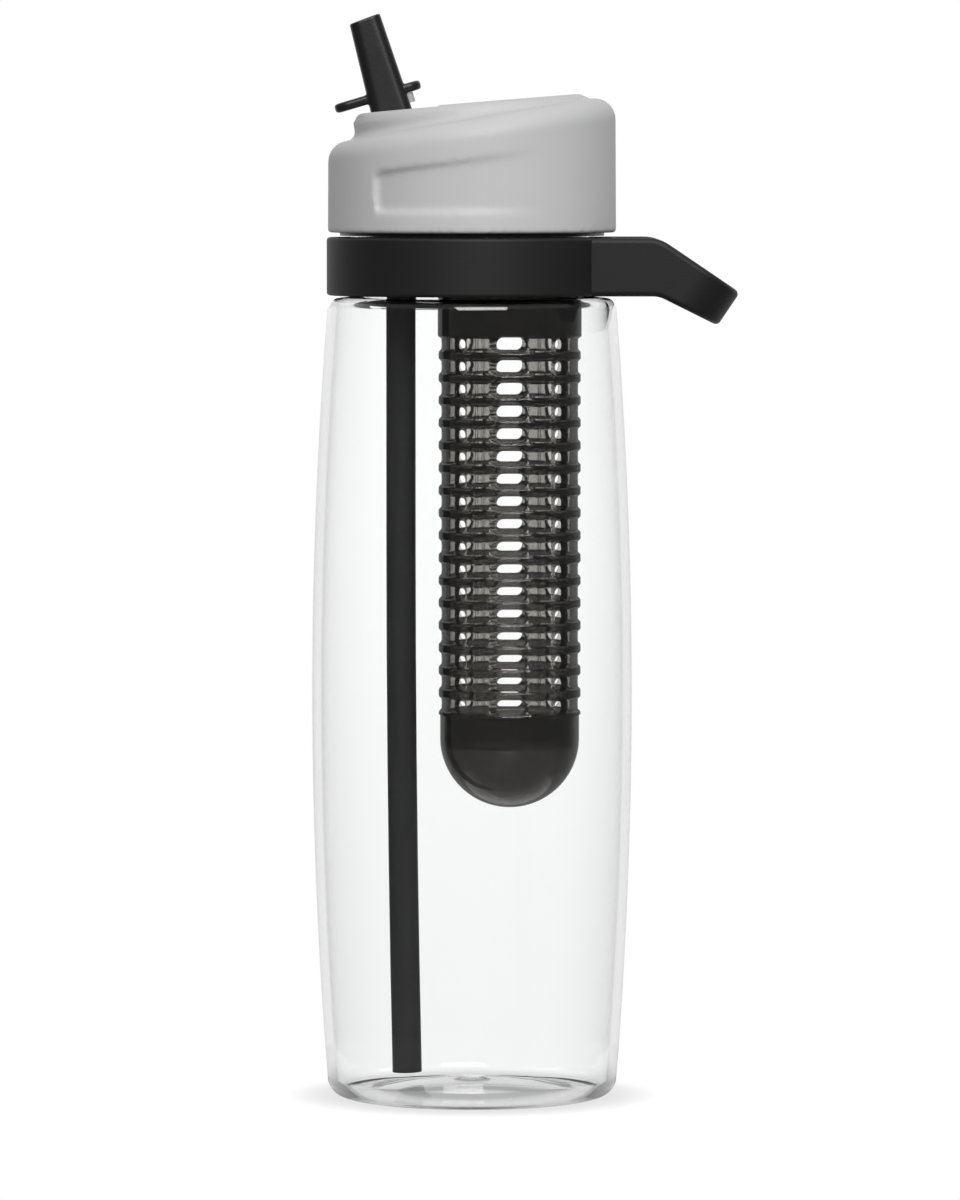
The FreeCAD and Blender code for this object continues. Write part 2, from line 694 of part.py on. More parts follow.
def make_spout():
    """Flip spout: a tapered mouthpiece with a thumb flange on a drum with two trunnions."""
    body = new_body("spout", "-pivot_x", PIVOT_Z, "-spout_lean")
    flange = new_sketch(body, "XY_Plane", "flange_height - flange_thickness / 2")
    draw_outline(flange, rounded_box("-flange_front", "flange_back", "flange_width / 2",
                                     "flange_corner"))
    extrude(body, "Pad", flange, "flange_thickness")
    soften(body, "flange_round", lambda edge: edge.BoundBox.ZLength < NEAR)
    sections = []
    for height, depth, width in (
        ("0", "spout_root_depth", "spout_root_width"),
        ("spout_length - spout_bevel", "spout_tip_depth", "spout_tip_width"),
        ("spout_length", "(spout_tip_depth - spout_bevel)", "(spout_tip_width - spout_bevel)"),
    ):
        section = new_sketch(body, "XY_Plane", height)
        draw_outline(section, rounded_box(f"-{depth} / 2", f"{depth} / 2", f"{width} / 2", "spout_corner"))
        sections.append(section)
    loft = body.newObject("PartDesign::AdditiveLoft", "mouthpiece")
    loft.Profile = sections[0]
    loft.Sections = sections[1:]
    loft.Ruled = True
    drum = new_sketch(body, "XZ_Plane")
    draw_circle(drum, "drum_radius")
    extrude(body, "Pad", drum, "drum_width", both_ways=True)
    trunnions = new_sketch(body, "XZ_Plane")
    draw_circle(trunnions, "trunnion_radius")
    extrude(body, "Pad", trunnions, "drum_width + 2 * trunnion_length", both_ways=True)
    pocket_circle(body, "tube_radius + tube_fit", "spout_length", "spout_length + 2 * drum_radius")
    window = new_sketch(body, "XY_Plane", "heel_low + heel_height + tube_fit")
    half_width = "(heel_width / 2 + tube_fit)"
    draw_outline(window, [
        ("0", f"-{half_width}"),
        ("spout_root_depth", f"-{half_width}"),
        ("spout_root_depth", half_width),
        ("0", half_width),
    ])
    extrude(body, "Pocket", window, "heel_height + 2 * tube_fit")
    return body


def make_flow_tube():
    """Silicone tube in the spout's bore, with the heel that shows at the spout's back."""
    body = new_body("flow_tube", "-pivot_x", PIVOT_Z, "-spout_lean")
    pad_circle(body, "tube_radius", "-drum_radius / 2", "spout_length + drum_radius / 2 - tube_recess")
    heel = new_sketch(body, "XY_Plane", "heel_low")
    half_width = "(heel_width / 2)"
    reach = "(spout_root_depth / 2 + heel_bulge)"
    draw_outline(heel, [
        ("0", f"-{half_width}"),
        (f"{reach} - heel_bulge", f"-{half_width}"),
        (reach, f"heel_bulge - {half_width}", "heel_bulge", LEFT),
        (reach, f"{half_width} - heel_bulge"),
        (f"{reach} - heel_bulge", half_width, "heel_bulge", LEFT),
        ("0", half_width),
    ])
    extrude(body, "Pad", heel, "heel_height")
    pocket_circle(body, "tube_bore", "spout_length", "spout_length + drum_radius")
    return body


def make_spout_seal():
    """Silicone bush between the liner's nipple and the drum of the spout."""
    bush = new_body("seal_bush")
    pad_circle(bush, "seal_radius", NIPPLE_TOP, f"{PIVOT_Z} - {NIPPLE_TOP}", "-straw_x")
    pocket_circle(bush, "seal_bore", PIVOT_Z, f"{PIVOT_Z} - {NIPPLE_TOP}", "-straw_x")
    envelope = folded_block("seal_envelope",
                            channel_outline("(seal_gap - spout_clearance)", "channel_length"),
                            "2 * drum_width")
    return join("Cut", "spout_seal", bush, envelope)


def make_straw():
    """Stiff straw: straight below the lid, then leaning a little inwards."""
    body = new_body("straw")
    drop = f"(straw_bend - {STRAW_LOW})"
    bend_arc = f"({drop}^2 + straw_drift^2) / (2 * straw_drift)"
    path = new_sketch(body, "XZ_Plane")
    top = FreeCAD.Vector(-value("straw_x"), value(DECK_LOW), 0)
    bend = FreeCAD.Vector(-value("straw_x"), value("straw_bend"), 0)
    foot = FreeCAD.Vector(value("straw_drift - straw_x"), value(STRAW_LOW), 0)
    path.addGeometry(Part.LineSegment(top, bend), False)
    path.addGeometry(arc_between(bend, foot, value(bend_arc), LEFT), False)
    path.addConstraint(Sketcher.Constraint("Coincident", 0, 2, 1, 1))
    pin_point(path, 0, 1, "-straw_x", DECK_LOW)
    pin_point(path, 0, 2, "-straw_x", "straw_bend")
    pin_point(path, 1, 2, "straw_drift - straw_x", STRAW_LOW)
    hold_radius(path, 1, bend_arc)
    section = new_sketch(body, "XY_Plane", DECK_LOW)
    draw_circle(section, "straw_radius", "-straw_x")
    draw_circle(section, "straw_radius - straw_wall", "-straw_x")
    pipe = body.newObject("PartDesign::AdditivePipe", "straw_pipe")
    pipe.Profile = section
    pipe.Spine = (path, ["Edge1", "Edge2"])
    return body


def make_infuser_basket():
    """Ribbed tube with rows of round-ended slots, open to the lid above and the end cap below."""
    body = new_body("infuser_basket", "infuser_x")
    seam = f"({CAP_TOP} + cap_seam)"
    bore = "(panel_radius - basket_wall)"
    insert_bore = f"({INSERT_RADIUS} - insert_wall)"
    seat = f"({SPIGOT_LOW} - collar_seat)"
    revolve(body, [
        (insert_bore, f"{CAP_TOP} - cap_insert"),
        (INSERT_RADIUS, f"{CAP_TOP} - cap_insert"),
        (INSERT_RADIUS, seam),
        ("rib_radius", seam),
        ("rib_radius", COLLAR_LOW),
        ("collar_radius", COLLAR_LOW),
        ("collar_radius", BASKET_TOP),
        (COLLAR_BORE, BASKET_TOP),
        (COLLAR_BORE, seat),
        (bore, seat),
        (bore, LAST_PANEL),
        (insert_bore, seam),
    ])
    groove_sketch = new_sketch(body, "XZ_Plane")
    draw_outline(groove_sketch, [
        ("panel_radius", f"{FIRST_ROW} - panel_height / 2"),
        ("collar_radius + cut_margin", f"{FIRST_ROW} - panel_height / 2"),
        ("collar_radius + cut_margin", f"{FIRST_ROW} + panel_height / 2"),
        ("panel_radius", f"{FIRST_ROW} + panel_height / 2"),
    ])
    groove = body.newObject("PartDesign::Groove", "panel_groove")
    groove.Profile = groove_sketch
    groove.ReferenceAxis = (groove_sketch, ["V_Axis"])
    groove.Angle = 360
    features = [groove]
    for turn, width in ((0, "slot_width"), (90, "slot_width"),
                        (45, "diagonal_slot_width"), (135, "diagonal_slot_width")):
        slot = new_sketch(body, "XZ_Plane", "0", turn)
        straight = f"({width} - slot_height) / 2"
        low = f"{FIRST_ROW} - slot_height / 2"
        high = f"{FIRST_ROW} + slot_height / 2"
        draw_outline(slot, [
            (f"-{straight}", low),
            (straight, low),
            (f"{straight} + slot_height / 2", FIRST_ROW, "slot_height / 2", LEFT),
            (straight, high, "slot_height / 2", LEFT),
            (f"-{straight}", high),
            (f"-{straight} - slot_height / 2", FIRST_ROW, "slot_height / 2", LEFT),
            (f"-{straight}", low, "slot_height / 2", LEFT),
        ][1:])
        features.append(extrude(body, "Pocket", slot, "4 * collar_radius", both_ways=True))
    rows = body.newObject("PartDesign::LinearPattern", "slot_rows")
    rows.Originals = features
    rows.Direction = (groove_sketch, ["V_Axis"])
    rows.Reversed = True
    rows.setExpression("Length", bound("(row_count - 1) * row_pitch"))
    rows.setExpression("Occurrences", bound("row_count"))
    body.Tip = rows
    return body


def make_infuser_end_cap():
    """Round-bottomed cap that closes the basket."""
    body = new_body("infuser_end_cap", "infuser_x")
    revolve(body, [
        ("0", CAP_LOW),
        ("cap_radius", f"{CAP_LOW} + cap_radius", "cap_radius", LEFT),
        ("cap_radius", CAP_TOP),
        (CAP_BORE, CAP_TOP),
        (CAP_BORE, f"{CAP_LOW} + cap_radius"),
        ("0", f"{CAP_LOW} + cap_wall", CAP_BORE, RIGHT),
    ])
    return body


MAKERS = (
    make_bottle_body,
    make_carry_band,
    make_lid_shell,
    make_lid_liner,
    make_lid_gasket,
    make_vent_valve,
    make_spout,
    make_flow_tube,
    make_spout_seal,
    make_straw,
    make_infuser_basket,
    make_infuser_end_cap,
)

pieces = []
for make in MAKERS:
    piece = make()
    piece.Label = make.__name__.removeprefix("make_")
    pieces.append(piece)
doc.recompute()

failed = [item.Label for item in doc.Objects if {"Invalid", "Error"} & set(item.State)]
broken = [piece.Label for piece in pieces if piece.Shape.isNull() or not piece.Shape.isValid()]
if failed or broken:
    raise RuntimeError(f"failed features: {failed}; broken pieces: {broken}")
os.makedirs("parts", exist_ok=True)
for piece in pieces:
    solids = len(piece.Shape.Solids)
    print(f"{piece.Label}: {solids} solid, {piece.Shape.Volume:.1f} cubic mm")
    piece.Shape.exportStep(f"parts/{piece.Label}.step")
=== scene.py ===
"""Studio picture of the fruit infuser water bottle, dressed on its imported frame.

Metres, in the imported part's own frame: +Z up, +X towards the carry loop, the spout over -X.
"""

import logging
import math
from dataclasses import dataclass
from enum import Enum
from typing import Any, Callable, NamedTuple, Optional, Sequence, Union

import bmesh
import bpy
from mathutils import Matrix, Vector


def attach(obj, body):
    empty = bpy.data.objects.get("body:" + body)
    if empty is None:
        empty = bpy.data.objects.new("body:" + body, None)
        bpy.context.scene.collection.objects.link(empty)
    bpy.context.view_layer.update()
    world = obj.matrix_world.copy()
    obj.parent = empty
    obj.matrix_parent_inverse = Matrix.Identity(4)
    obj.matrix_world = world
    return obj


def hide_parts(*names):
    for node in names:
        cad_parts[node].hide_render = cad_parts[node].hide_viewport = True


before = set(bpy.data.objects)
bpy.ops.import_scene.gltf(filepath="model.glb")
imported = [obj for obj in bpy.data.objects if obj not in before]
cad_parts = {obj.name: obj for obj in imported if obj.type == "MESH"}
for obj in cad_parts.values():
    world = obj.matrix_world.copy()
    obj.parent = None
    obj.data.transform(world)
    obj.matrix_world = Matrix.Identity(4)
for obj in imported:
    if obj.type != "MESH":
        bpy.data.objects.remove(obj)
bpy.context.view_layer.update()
LOG = logging.getLogger("infuser_bottle")

Colour = tuple[float, float, float, float]
Corner = tuple[float, float]
Zone = tuple[float, float]
Operand = Union["Socket", float]

SAME_PLACE = 1e-7
SLIVER = 1e-5
QUAD_CORNERS = 4


def grey(tone: float) -> Colour:
    """Neutral colour of a tone."""
    return (tone, tone, tone, 1.0)


def shaded(colour: Colour, share: float) -> Colour:
    """Colour made lighter or darker by a share."""
    return tuple(min(1.0, part * share) for part in colour[:3]) + (1.0,)


class Socket:
    """Output of a shader node, whose operators add the Math nodes of an expression."""

    def __init__(self, paint: "Paint", output: Optional[bpy.types.NodeSocket]) -> None:
        """Keep an output and the paint that it belongs to."""
        self.paint = paint
        self.output = output

    def _math(self, operation: str, left: Operand, right: Operand = 0.0) -> "Socket":
        """Result of one Math node."""
        return self.paint.node("ShaderNodeMath", {"operation": operation}, {0: left, 1: right})

    def __add__(self, other: Operand) -> "Socket":
        """Sum."""
        return self._math("ADD", self, other)

    def __sub__(self, other: Operand) -> "Socket":
        """Difference."""
        return self._math("SUBTRACT", self, other)

    def __rsub__(self, other: Operand) -> "Socket":
        """Difference, taken from a number."""
        return self._math("SUBTRACT", other, self)

    def __mul__(self, other: Operand) -> "Socket":
        """Product."""
        return self._math("MULTIPLY", self, other)

    def __abs__(self) -> "Socket":
        """Size without its sign."""
        return self._math("ABSOLUTE", self)

    __radd__ = __add__
    __rmul__ = __mul__

    def root(self) -> "Socket":
        """Square root."""
        return self._math("SQRT", self)

    def at_least(self, other: Operand) -> "Socket":
        """The larger of this and another value."""
        return self._math("MAXIMUM", self, other)

    def ramp(self, low: float, high: float) -> "Socket":
        """Smooth step from 0 at low to 1 at high.

        Args:
            low: Value at which the step starts.
            high: Value at which the step is complete. It may be the smaller one.

        Returns:
            The step, from 0 to 1.
        """
        settings = {"interpolation_type": "SMOOTHSTEP"}
        if low < high:
            return self.paint.node("ShaderNodeMapRange", settings, {0: self, 1: low, 2: high})
        return 1.0 - self.paint.node("ShaderNodeMapRange", settings, {0: self, 1: high, 2: low})


class Paint:
    """Node tree of a material or of the world, with the few nodes that the finishes share."""

    def __init__(self, owner: Union[bpy.types.Material, bpy.types.World]) -> None:
        """Start an empty node tree.

        Args:
            owner: The material or world that gets the tree.
        """
        owner.use_nodes = True
        self.owner = owner
        self.tree = owner.node_tree
        self.tree.nodes.clear()

    def node(
        self,
        kind: str,
        settings: Optional[dict[str, Any]] = None,
        inputs: Optional[dict[Union[int, str], Any]] = None,
        output: Union[int, str, None] = 0,
    ) -> Socket:
        """Add one node.

        Args:
            kind: Blender's name of the node's type.
            settings: Properties of the node, which are set first.
            inputs: Values or sockets for the node's inputs, by name or number.
            output: Which output to hand back, or None for a node without outputs.

        Returns:
            The chosen output.
        """
        made = self.tree.nodes.new(kind)
        for name, setting in (settings or {}).items():
            setattr(made, name, setting)
        for key, source in (inputs or {}).items():
            if isinstance(source, Socket):
                self.tree.links.new(source.output, made.inputs[key])
            else:
                made.inputs[key].default_value = source
        return Socket(self, None if output is None else made.outputs[output])

    def place(self) -> Socket:
        """Position on the piece, in the part's frame."""
        return self.node("ShaderNodeTexCoord", output="Object")

    def axis(self, place: Socket, name: str) -> Socket:
        """One coordinate, X, Y or Z, of a position."""
        return self.node("ShaderNodeSeparateXYZ", None, {0: place}, name)

    def path(self, name: str) -> Socket:
        """One fact about the way that the light has come."""
        return self.node("ShaderNodeLightPath", output=name)

    def round_axis(self, axis_x: float) -> tuple[Socket, Socket, Socket]:
        """Place on the piece as seen from an upright axis.

        Args:
            axis_x: X of the axis.

        Returns:
            How far the place lies off the axis along X, along Y, and in all.
        """
        place = self.place()
        across = self.axis(place, "X") - axis_x
        along = self.axis(place, "Y")
        return across, along, (across * across + along * along).root()

    def noise(self, size: float, detail: float = 2.0, stretch: Corner = (1.0, 1.0)) -> Socket:
        """Soft random pattern.

        Args:
            size: Width of its patches in metres.
            detail: How many finer layers it has.
            stretch: How much longer the patches are across (X and Y) and up (Z).

        Returns:
            The pattern, about 0.5 on average.
        """
        across, up = stretch
        scale = (1 / across, 1 / across, 1 / up)
        place = self.node("ShaderNodeMapping", None, {"Vector": self.place(), "Scale": scale})
        inputs = {"Vector": place, "Scale": 1 / size, "Detail": detail}
        return self.node("ShaderNodeTexNoise", None, inputs)

    def blend(self, share: Operand, first: Any, second: Any) -> Socket:
        """Colour between two colours."""
        inputs = {0: share, 6: first, 7: second}
        return self.node("ShaderNodeMix", {"data_type": "RGBA"}, inputs, 2)

    def bump(self, height: Socket, depth: float) -> Socket:
        """Normal of a surface that rises by depth metres where height is 1."""
        inputs = {"Strength": 1.0, "Distance": depth, "Height": height}
        return self.node("ShaderNodeBump", None, inputs)

    def finish(self, inputs: dict[str, Any], inside: Optional[Socket] = None) -> bpy.types.Material:
        """Close a material's tree with one Principled shader.

        Args:
            inputs: Values or sockets for the shader's inputs.
            inside: What fills the solid, where there is such.

        Returns:
            The material.
        """
        ends = {"Surface": self.node("ShaderNodeBsdfPrincipled", None, inputs)}
        if inside is not None:
            ends["Volume"] = inside
        self.node("ShaderNodeOutputMaterial", None, ends, None)
        return self.owner


class Skin(NamedTuple):
    """Skin of a moulding: width and height of its grains in metres, roughness and level of gloss."""

    grain: float
    depth: float
    roughness: float
    gloss: float


class Touch(Enum):
    """How a mould leaves the skin of a plastic."""

    SPARK = Skin(0.00042, 0.000028, 0.52, 0.5)
    SATIN = Skin(0.0006, 0.000012, 0.34, 0.5)
    SOFT = Skin(0.0005, 0.00002, 0.56, 0.4)
    DULL = Skin(0.0005, 0.00001, 0.5, 0.15)


@dataclass(frozen=True)
class MouldedPlastic:
    """Opaque moulded plastic or rubber with a grained skin."""

    name: str
    colour: Colour
    touch: Touch
    cloud: float = 0.06
    cloud_width: float = 0.012
    cloud_share: float = 0.7
    grain_detail: float = 3.0
    polish: float = 0.06
    cloud_rough: float = 0.07
    grain_rough: float = 0.05
    ior: float = 1.48

    def material(self) -> bpy.types.Material:
        """Make the material.

        Returns:
            Grain in the normal, soft clouds in the colour and in the roughness.
        """
        paint = Paint(bpy.data.materials.new(self.name))
        skin = self.touch.value
        grain = paint.noise(skin.grain, self.grain_detail)
        clouds = paint.noise(self.cloud_width)
        share = clouds * self.cloud_share + grain * (1 - self.cloud_share)
        darker = shaded(self.colour, 1 - self.cloud)
        lighter = shaded(self.colour, 1 + self.cloud)
        roughness = skin.roughness - self.polish + clouds * self.cloud_rough + grain * self.grain_rough
        return paint.finish({
            "Base Color": paint.blend(share, darker, lighter),
            "Roughness": roughness,
            "IOR": self.ior,
            "Specular IOR Level": skin.gloss,
            "Normal": paint.bump(grain, skin.depth),
        })


@dataclass(frozen=True)
class ClearPlastic:
    """Water-clear bottle plastic, polished on both sides."""

    name: str
    colour: Colour
    ior: float
    wave_width: float = 0.03
    wave_stretch: Corner = (1.0, 3.0)
    wave_depth: float = 0.00003
    haze_width: float = 0.008
    haze_rough: float = 0.012

    def material(self) -> bpy.types.Material:
        """Make the material.

        Returns:
            Clear plastic with the faint waviness of a blown wall.
        """
        paint = Paint(bpy.data.materials.new(self.name))
        waves = paint.noise(self.wave_width, 1.0, self.wave_stretch)
        haze = paint.noise(self.haze_width)
        return paint.finish({
            "Base Color": paint.blend(haze, self.colour, grey(1.0)),
            "Roughness": haze * self.haze_rough,
            "IOR": self.ior,
            "Transmission Weight": 1.0,
            "Normal": paint.bump(waves, self.wave_depth),
        })


@dataclass(frozen=True)
class SmokePlastic:
    """Tinted see-through plastic, which darkens with its depth."""

    name: str
    colour: Colour
    smoke: Colour
    density: float
    gloss: float = 0.5
    # Colour of the painted shade on ribs, collar and slot walls, and of the dark mould seams.
    painted_shade_and_seam: Optional[Colour] = None
    axis_x: float = 0.00895
    rib_zone: Zone = (0.01642, 0.0168)
    wall: Zone = (0.0149, 0.0161)
    wall_fade: float = 0.0003
    wall_share: float = 0.85
    seams: tuple[float, ...] = (math.radians(-29.8), math.radians(25.7))
    seam_zone: Zone = (0.00016, 0.000064)
    seam_share: float = 0.8
    flow_width: float = 0.006
    flow_stretch: Corner = (1.0, 2.0)
    flow_depth: float = 0.00002
    flow_rough: float = 0.05
    roughness: float = 0.03
    ior: float = 1.5

    def tint(self, paint: Paint) -> Union[Socket, Colour]:
        """Colour of the skin.

        Args:
            paint: The material's paint.

        Returns:
            One colour all over, or one with painted shade on the ribs, the collar and the slot walls,
            standing in for the darkness of thick, refracting plastic and the parts behind it, and with
            dark mould seams.
        """
        if self.painted_shade_and_seam is None:
            return self.colour
        across, along, radius = paint.round_axis(self.axis_x)
        # Painted shade: ribs, collar and slot walls get the dark colour in place of the shade that thick,
        # refracting plastic gives.
        low, high = self.wall
        wall = radius.ramp(low, low + self.wall_fade) * radius.ramp(high, high - self.wall_fade)
        share = radius.ramp(*self.rib_zone).at_least(wall * self.wall_share)
        # The mould's seams are real dark lines.
        for seam in self.seams:
            off_seam = abs(across * math.cos(seam) + along * math.sin(seam))
            share = share.at_least(off_seam.ramp(*self.seam_zone) * self.seam_share)
        return paint.blend(share, self.colour, self.painted_shade_and_seam)

    def material(self) -> bpy.types.Material:
        """Make the material.

        Returns:
            Polished plastic with the faint flow lines of a moulding.
        """
        paint = Paint(bpy.data.materials.new(self.name))
        flow = paint.noise(self.flow_width, stretch=self.flow_stretch)
        smoke = {"Color": self.smoke, "Density": self.density}
        return paint.finish({
            "Base Color": self.tint(paint),
            "Roughness": self.roughness + flow * self.flow_rough,
            "IOR": self.ior,
            "Specular IOR Level": self.gloss,
            "Transmission Weight": 1.0,
            "Normal": paint.bump(flow, self.flow_depth),
        }, paint.node("ShaderNodeVolumeAbsorption", None, smoke))


@dataclass(frozen=True)
class Silicone:
    """Milky soft seal."""

    name: str
    colour: Colour
    clearness: float = 0.35
    dust_width: float = 0.0015
    dust_detail: float = 3.0
    dust_shade: float = 0.9
    dust_rough: float = 0.12
    dust_depth: float = 0.00001
    roughness: float = 0.38
    ior: float = 1.41

    def material(self) -> bpy.types.Material:
        """Make the material.

        Returns:
            Half see-through rubber with a dull, dusty skin.
        """
        paint = Paint(bpy.data.materials.new(self.name))
        dust = paint.noise(self.dust_width, self.dust_detail)
        return paint.finish({
            "Base Color": paint.blend(dust, self.colour, shaded(self.colour, self.dust_shade)),
            "Roughness": self.roughness + dust * self.dust_rough,
            "IOR": self.ior,
            "Transmission Weight": self.clearness,
            "Normal": paint.bump(dust, self.dust_depth),
        })


BLACK = (0.0105, 0.0105, 0.011, 1.0)
GREY_LID = MouldedPlastic("grey_lid_plastic", (0.56, 0.56, 0.565, 1.0), Touch.SPARK, 0.03)
BLACK_BAND = MouldedPlastic("black_band_rubber", BLACK, Touch.SOFT)
BLACK_LINER = MouldedPlastic("black_satin_plastic", BLACK, Touch.SATIN)
BLACK_SPOUT = MouldedPlastic("black_spout_plastic", BLACK, Touch.SATIN)
BLACK_STRAW = MouldedPlastic("black_straw_plastic", grey(0.047), Touch.DULL)
CLEAR_BOTTLE = ClearPlastic("clear_bottle_plastic", (0.985, 0.99, 0.99, 1.0), 1.5)
SMOKE_BASKET = SmokePlastic(
    "smoke_basket_plastic",
    colour=(0.99, 0.98, 0.96, 1.0),
    smoke=(0.1, 0.09, 0.05, 1.0),
    density=370.0,
    # Painted shade for ribs, collar and slot walls, and also the colour of the dark mould seams.
    painted_shade_and_seam=(0.03, 0.028, 0.025, 1.0),
)
SMOKE_CAP = SmokePlastic(
    "smoke_cap_plastic",
    colour=(0.22, 0.213, 0.2, 1.0),
    smoke=(0.1, 0.095, 0.07, 1.0),
    density=200.0,
    gloss=0.25,
)
MILKY_SEAL = Silicone("milky_silicone", (0.62, 0.62, 0.61, 1.0))


def arc(centre: Corner, radius: float, start: float, end: float, count: int) -> list[Corner]:
    """Points along an arc.

    Args:
        centre: Centre as (radius, height).
        radius: Radius of the arc.
        start: Angle of the first point in radians.
        end: Angle of the last point in radians.
        count: Number of points, both ends included.

    Returns:
        The points in order.
    """
    angles = [start + (end - start) * step / (count - 1) for step in range(count)]
    return [(centre[0] + radius * math.cos(a), centre[1] + radius * math.sin(a)) for a in angles]


def turned(radius: float, turn: float, height: float) -> Vector:
    """Place at an angle round the Z axis."""
    return Vector((radius * math.cos(turn), radius * math.sin(turn), height))


def bridge(work: bmesh.types.BMesh, rings: Sequence[Sequence[bmesh.types.BMVert]]) -> None:
    """Add smooth faces from each ring of points to the next.

    Args:
        work: The bmesh.
        rings: Closed rings of equally many points. A ring of one repeated point makes a pole.
    """
    for low, high in zip(rings, rings[1:]):
        for step in range(len(low)):
            after = (step + 1) % len(low)
            corners = dict.fromkeys((low[step], low[after], high[after], high[step]))
            work.faces.new(tuple(corners)).smooth = True


def lathe(name: str, outline: Sequence[Corner], steps: int) -> bpy.types.Object:
    """Turn a closed outline about Z.

    Args:
        name: Name of the new piece.
        outline: (radius, height) corners, counter-clockwise, that start and end on the axis.
        steps: Number of steps round the axis.

    Returns:
        The new piece, smooth all over.
    """
    work = bmesh.new()
    turns = [2 * math.pi * step / steps for step in range(steps)]
    rings = []
    for radius, height in outline:
        if radius < SAME_PLACE:
            rings.append([work.verts.new((0.0, 0.0, height))] * steps)
        else:
            rings.append([work.verts.new(turned(radius, turn, height)) for turn in turns])
    bridge(work, rings)
    return closed_piece(name, work)


def piece_from(name: str, work: bmesh.types.BMesh) -> bpy.types.Object:
    """Put a finished bmesh into the scene as a piece.

    Args:
        name: Name of the piece and of its mesh.
        work: The bmesh, which is freed.

    Returns:
        The new object.
    """
    mesh = bpy.data.meshes.new(name)
    work.to_mesh(mesh)
    work.free()
    made = bpy.data.objects.new(name, mesh)
    bpy.context.scene.collection.objects.link(made)
    return made


def closed_piece(name: str, work: bmesh.types.BMesh) -> bpy.types.Object:
    """Put a bmesh into the scene as a piece whose faces all look outwards."""
    bmesh.ops.recalc_face_normals(work, faces=work.faces)
    return piece_from(name, work)


def settle(item: bpy.types.Object) -> None:
    """Make what a piece's modifiers show its own mesh.

    Args:
        item: The piece, which loses its modifiers.
    """
    seen = item.evaluated_get(bpy.context.evaluated_depsgraph_get())
    mesh = bpy.data.meshes.new_from_object(seen)
    item.modifiers.clear()
    item.data = mesh
    mesh.name = item.name


def even_net(item: bpy.types.Object, voxel: float) -> None:
    """Give a piece an even net of small faces, which also joins solids that overlap.

    Args:
        item: The piece.
        voxel: Width of the faces in metres.
    """
    net = item.modifiers.new("net", "REMESH")
    net.mode = "VOXEL"
    net.voxel_size = voxel
    net.use_smooth_shade = True
    settle(item)


def cut_out(item: bpy.types.Object, cutter: bpy.types.Object) -> None:
    """Take a cutter's solid out of a piece, and the cutter out of the scene.

    Args:
        item: The piece, which keeps no faces without width.
        cutter: The solid to take out.
    """
    cut = item.modifiers.new("cut", "BOOLEAN")
    cut.operation = "DIFFERENCE"
    cut.solver = "EXACT"
    cut.object = cutter
    settle(item)
    bpy.data.objects.remove(cutter)
    work = bmesh.new()
    work.from_mesh(item.data)
    bmesh.ops.dissolve_degenerate(work, dist=SLIVER, edges=work.edges)
    bmesh.ops.triangulate(work, faces=[face for face in work.faces if len(face.verts) > QUAD_CORNERS])
    bmesh.ops.dissolve_degenerate(work, dist=SLIVER, edges=work.edges)
    work.to_mesh(item.data)
    work.free()


def soften(
    item: bpy.types.Object, passes: int, chosen: Optional[Callable[[Vector], bool]] = None
) -> None:
    """Round the edges of an even net by averaging neighbours.

    Args:
        item: The piece.
        passes: How often each point moves half-way to the middle of its neighbours.
        chosen: Which points move. All do where it is left out.
    """
    work = bmesh.new()
    work.from_mesh(item.data)
    points = [point for point in work.verts if chosen is None or chosen(point.co)]
    ways = {"use_axis_x": True, "use_axis_y": True, "use_axis_z": True}
    for _ in range(passes):
        bmesh.ops.smooth_vert(work, verts=points, factor=0.5, **ways)
    work.to_mesh(item.data)
    work.free()


def coat(item: bpy.types.Object, material: bpy.types.Material) -> None:
    """Give a piece one material."""
    item.data.materials.clear()
    item.data.materials.append(material)


def smooth_between(mesh: bpy.types.Mesh, crease: float) -> None:
    """Shade a mesh smooth, but for edges from a crease angle in degrees."""
    mesh.polygons.foreach_set("use_smooth", [True] * len(mesh.polygons))
    mesh.set_sharp_from_angle(angle=math.radians(crease))


def dress_node(
    node: str, material: bpy.types.Material, crease: float
) -> bpy.types.Object:
    """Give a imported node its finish, with smooth curved faces and crisp edges.

    Args:
        node: Name of the node.
        material: Its finish.
        crease: Angle in degrees from which an edge stays crisp.

    Returns:
        The node's object.
    """
    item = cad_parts[node]
    coat(item, material)
    smooth_between(item.data, crease)
    return item


